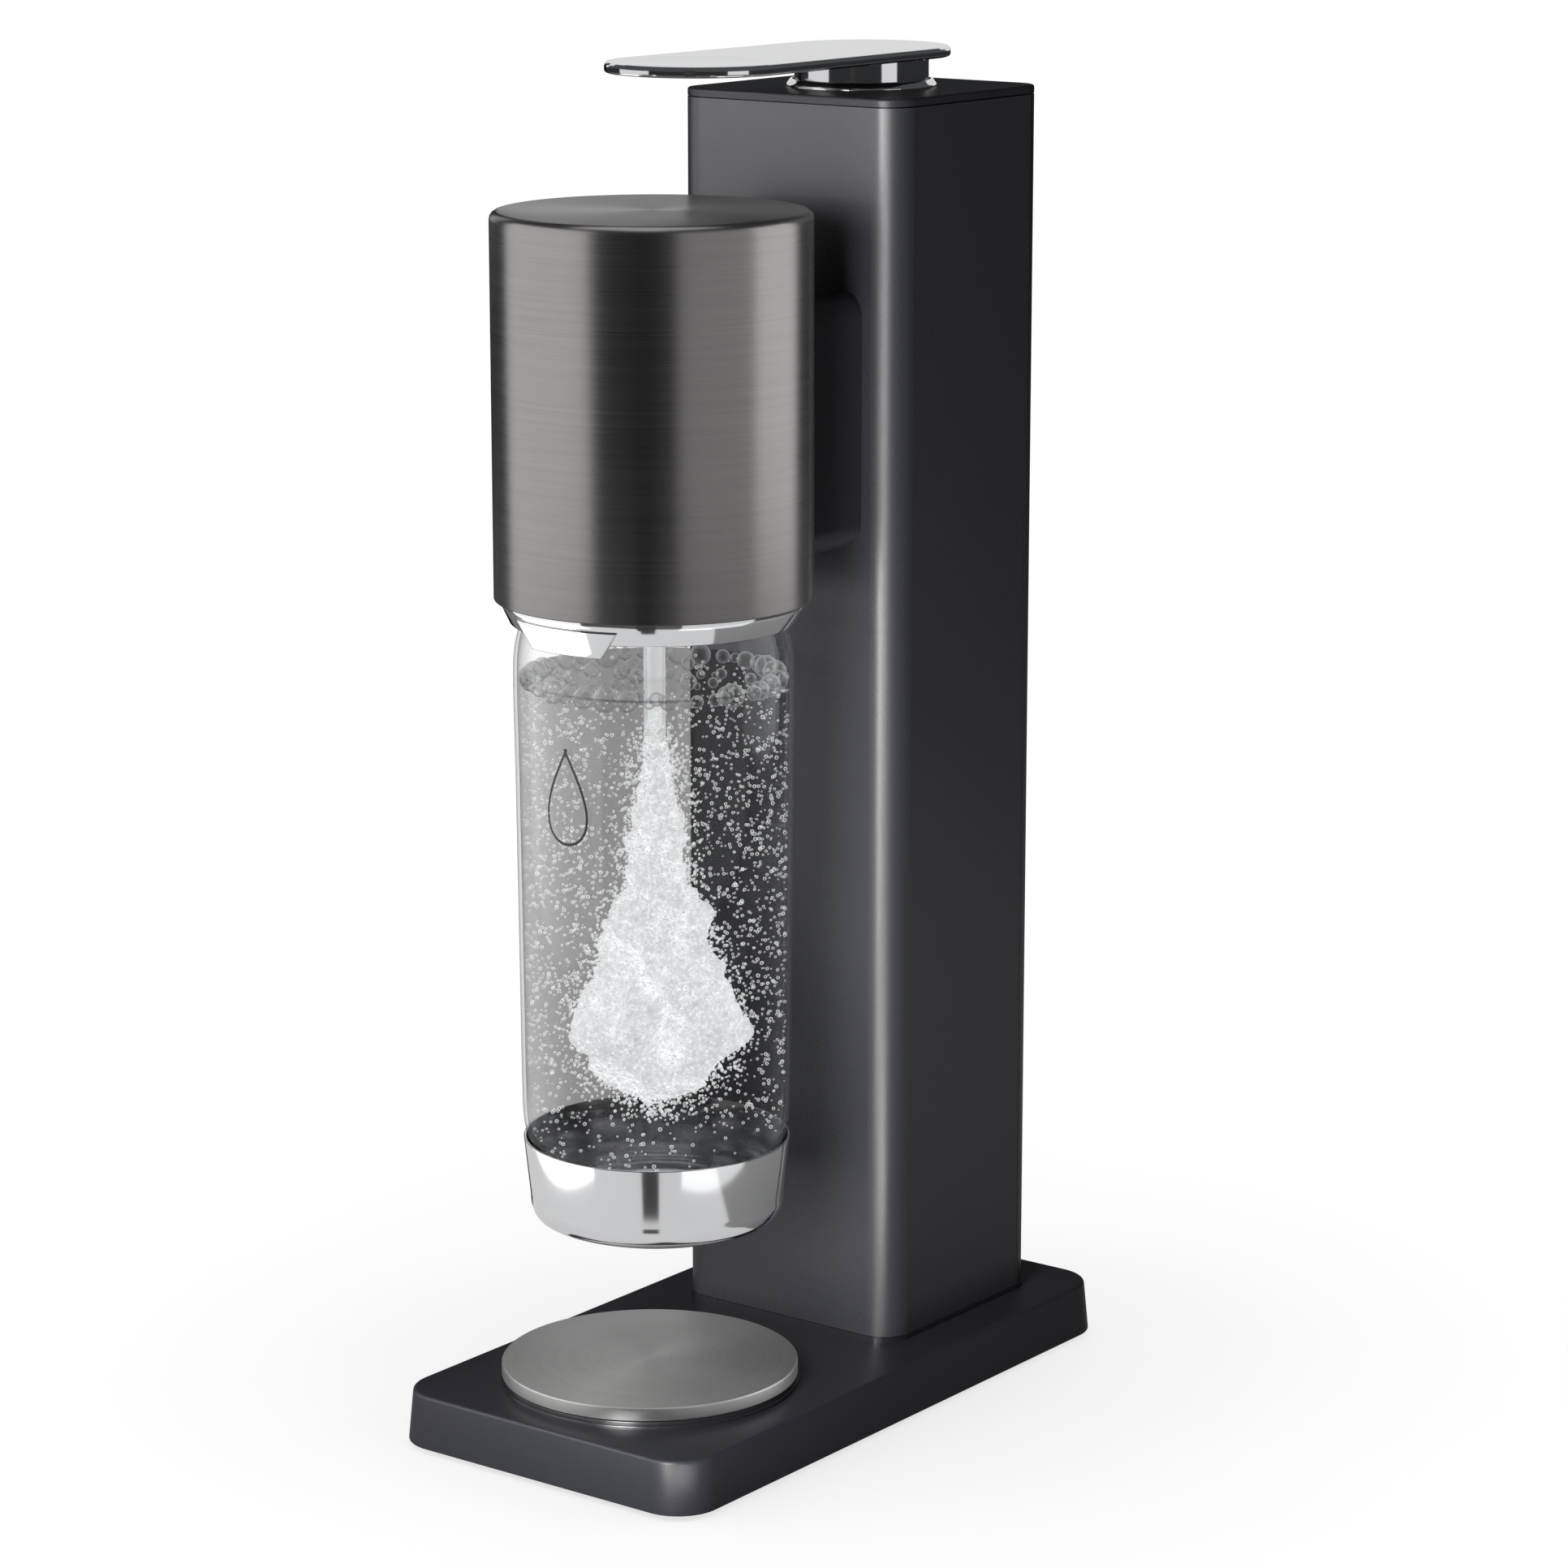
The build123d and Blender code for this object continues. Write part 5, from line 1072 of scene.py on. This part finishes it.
# ---------------------------------------------------------------- stage
class CARBONATOR_OT_stage(bpy.types.Operator):
    """White floor, soft lights and the camera"""

    bl_idname = "carbonator.stage"
    bl_label = "Stage"

    def execute(self, context):
        self.floor()
        self.lights()
        self.world(context.scene)
        self.camera(context.scene)
        return {"FINISHED"}

    @staticmethod
    def floor():
        """Wide floor, a hair under the feet."""
        bm = bmesh.new()
        bmesh.ops.create_grid(bm, x_segments=1, y_segments=1, size=14.0)
        bmesh.ops.translate(bm, vec=(0, 0, -0.05 * MM), verts=bm.verts)
        mesh = bpy.data.meshes.new("floor")
        bm.to_mesh(mesh)
        bm.free()
        mesh.materials.append(FINISHES["floor"])
        floor = bpy.data.objects.new("floor", mesh)
        bpy.context.scene.collection.objects.link(floor)

    @staticmethod
    def panel(name, azimuth, distance, height, size, radiance, aim=None):
        """Soft box on a circle round the machine. Azimuth 0 is in front, 90 to the right."""
        turn = math.radians(azimuth)
        place = Vector((math.sin(turn) * distance, -math.cos(turn) * distance, height))
        target = Vector((0, 0, height if aim is None else aim))
        light = bpy.data.lights.new(name, "AREA")
        light.shape = "RECTANGLE"
        light.size, light.size_y = size
        light.energy = radiance * math.pi * size[0] * size[1]
        lamp = bpy.data.objects.new(name, light)
        lamp.location = place
        lamp.rotation_euler = (target - place).to_track_quat("-Z", "Y").to_euler()
        lamp.visible_camera = False
        bpy.context.scene.collection.objects.link(lamp)
        return lamp

    @staticmethod
    def gathered(name, finishes):
        """The pieces in these finishes, as the receivers of a lamp."""
        group = bpy.data.collections.new(name)
        chosen = {FINISHES[key] for key in finishes}
        for piece in bpy.data.objects:
            if piece.type == "MESH" and any(slot.material in chosen for slot in piece.material_slots):
                group.objects.link(piece)
        return group

    @staticmethod
    def flag(name, azimuth, distance, width, height, grey):
        """Upright dark card that only mirrors see."""
        turn = math.radians(azimuth)
        bm = bmesh.new()
        bmesh.ops.create_grid(bm, x_segments=1, y_segments=1, size=0.5)
        bmesh.ops.scale(bm, vec=(width, height, 1.0), verts=bm.verts)
        bmesh.ops.rotate(bm, matrix=Matrix.Rotation(math.radians(90), 3, "X"), verts=bm.verts)
        bmesh.ops.rotate(bm, matrix=Matrix.Rotation(turn, 3, "Z"), verts=bm.verts)
        place = (math.sin(turn) * distance, HEAD_Y - math.cos(turn) * distance, height / 2 + 0.001)
        bmesh.ops.translate(bm, vec=place, verts=bm.verts)
        mesh = bpy.data.meshes.new(name)
        bm.to_mesh(mesh)
        bm.free()
        f = Finish(name)
        mesh.materials.append(f.out(f.principled({"Base Color": (grey, grey, grey, 1.0), "Roughness": 1.0})))
        card = bpy.data.objects.new(name, mesh)
        card.visible_camera = card.visible_diffuse = card.visible_shadow = card.visible_transmission = False
        bpy.context.scene.collection.objects.link(card)

    def lights(self):
        """Soft boxes and cards. Each lights only the finishes that it is meant for."""
        blacks = {"base_black", "column_black", "cover_black", "cap_black", "trim_black"}
        mirrors = {"chrome", "cup_steel"}
        black = self.gathered("black_pieces", blacks)
        mirror = self.gathered("mirror_pieces", mirrors)
        satin = self.gathered("satin_pieces", set(FINISHES) - blacks - mirrors)
        dull = self.gathered("all_but_mirrors", set(FINISHES) - mirrors)
        for name, azimuth, distance, height, size, radiance, aim, receivers in (
            # degrees and metres; radiance; height aimed at, level if None
            ("left_box", -42.0, 0.62, 0.40, (0.95, 0.79), 1.50, None, dull),
            ("right_box", 84.0, 0.70, 0.40, (0.85, 0.79), 0.66, None, satin),
            ("rear_box", 135.0, 0.80, 0.45, (0.66, 0.85), 1.7, None, satin),
            ("rear_left_box", -143.0, 1.5, 0.80, (2.6, 0.9), 0.52, 0.42, satin),
            ("lever_box", -143.0, 1.5, 0.80, (2.6, 0.9), 0.66, 0.42, mirror),
            ("top_box", 0.0, 0.2, 1.6, (1.2, 1.2), 1.3, 0.0, satin),
            ("black_top_box", 0.0, 0.2, 1.6, (1.2, 1.2), 0.25, 0.0, black),
            ("corner_strip", 18.0, 0.55, 0.24, (0.20, 0.60), 42.0, None, black),
            ("front_wash", -31.0, 0.90, 0.55, (0.45, 0.45), 4.5, 0.35, black),
            ("left_card", -46.0, 0.30, 0.16, (0.40, 0.32), 0.95, None, mirror),
            ("right_card", 78.0, 0.28, 0.16, (0.30, 0.32), 0.55, None, mirror),
            ("high_card", -46.0, 0.80, 0.32, (0.70, 0.30), 0.7, None, mirror),
            ("high_right_card", 88.0, 0.80, 0.32, (0.40, 0.30), 0.7, None, mirror),
        ):
            lamp = self.panel(name, azimuth, distance, height, size, radiance, aim)
            lamp.light_linking.receiver_collection = receivers
        for name, azimuth, distance, size, radiance, receivers in (
            ("floor_card", -20.0, 0.40, (0.9, 0.9), 0.42, mirror),
            ("floor_strip", 36.0, 0.25, (0.10, 0.16), 22.0, black),
        ):
            card = self.panel(name, azimuth, distance, 0.003, size, radiance, 1.0)
            card.rotation_euler = (math.pi, 0.0, math.radians(azimuth))
            card.light_linking.receiver_collection = receivers
        self.flag("flag_front", 33.0, 0.20, 0.046, 0.50, 0.32)
        self.flag("flag_left", -119.0, 0.22, 0.05, 0.50, 0.05)

    @staticmethod
    def world(scene):
        """White behind the object, and nearly dark in its reflections."""
        world = bpy.data.worlds.new("studio")
        f = Nodes(world)
        seen = f.add("ShaderNodeBackground", {}, {"Color": (1.0, 1.0, 1.0, 1.0)})
        lit = f.add("ShaderNodeBackground", {}, {"Color": (0.92, 0.95, 1.0, 1.0), "Strength": 0.07})
        camera_ray = f.add("ShaderNodeLightPath", output="Is Camera Ray")
        both = f.add("ShaderNodeMixShader", {}, {0: camera_ray, 1: lit, 2: seen})
        f.add("ShaderNodeOutputWorld", {}, {"Surface": both})
        scene.world = world

    @staticmethod
    def camera(scene):
        """Long lens, in front and to the right, a little above the head."""
        data = bpy.data.cameras.new("camera")
        data.sensor_width = 36.0
        data.lens = 109.89
        eye = Vector((0.8956, -1.1744, 0.5334))
        yaw, pitch = math.radians(37.022), math.radians(12.708)
        ahead = Vector((-math.sin(yaw) * math.cos(pitch), math.cos(yaw) * math.cos(pitch), -math.sin(pitch)))
        camera = bpy.data.objects.new("camera", data)
        camera.location = eye
        camera.rotation_euler = ahead.to_track_quat("-Z", "Y").to_euler()
        scene.collection.objects.link(camera)
        scene.camera = camera
        scene.view_settings.view_transform = "Standard"
        scene.cycles.use_denoising = True
        scene.cycles.max_bounces = 14
        scene.cycles.transparent_max_bounces = 48


class CARBONATOR_OT_carried(bpy.types.Operator):
    """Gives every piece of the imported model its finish"""

    bl_idname = "carbonator.carried"
    bl_label = "Carried-over pieces"

    def execute(self, context):
        slots = {entry["node"]: entry["material_slot"] for entry in frame["record"]["subparts"]}
        special = {"carbonation_tube": "tube_clear", "tube_tip": "tube_clear"}
        for name, node in frame["nodes"].items():
            finish = FINISHES[special.get(name, slots[name])]
            for slot in node.material_slots:
                slot.material = finish
        return {"FINISHED"}


class CARBONATOR_PT_panel(bpy.types.Panel):
    """Sizes, colours and the steps of the build"""

    bl_idname = "CARBONATOR_PT_panel"
    bl_label = "Soda carbonator"
    bl_space_type = "VIEW_3D"
    bl_region_type = "UI"
    bl_category = "Carbonator"

    def draw(self, context):
        layout = self.layout
        for group in (context.scene.carbonator_sizes, context.scene.carbonator_colours):
            for key in group.bl_rna.properties.keys():
                if key not in {"rna_type", "name"}:
                    layout.prop(group, key)
        for step in STEPS_IN_ORDER:
            layout.operator(step.bl_idname)


STEPS_IN_ORDER = (
    CARBONATOR_OT_carried,
    CARBONATOR_OT_base,
    CARBONATOR_OT_head,
    CARBONATOR_OT_lever,
    CARBONATOR_OT_cup,
    CARBONATOR_OT_bottle,
    CARBONATOR_OT_water,
    CARBONATOR_OT_stage,
)
CLASSES = (CarbonatorSizes, CarbonatorColours, *STEPS_IN_ORDER, CARBONATOR_PT_panel)


def register():
    for cls in CLASSES:
        bpy.utils.register_class(cls)
    bpy.types.Scene.carbonator_sizes = PointerProperty(type=CarbonatorSizes)
    bpy.types.Scene.carbonator_colours = PointerProperty(type=CarbonatorColours)


def unregister():
    del bpy.types.Scene.carbonator_sizes
    del bpy.types.Scene.carbonator_colours
    for cls in reversed(CLASSES):
        bpy.utils.unregister_class(cls)


def main():
    register()
    FINISHES.update(make_finishes(bpy.context.scene.carbonator_colours))
    for step in STEPS_IN_ORDER:
        area, name = step.bl_idname.split(".")
        getattr(getattr(bpy.ops, area), name)()


if __name__ == "__main__":
    main()
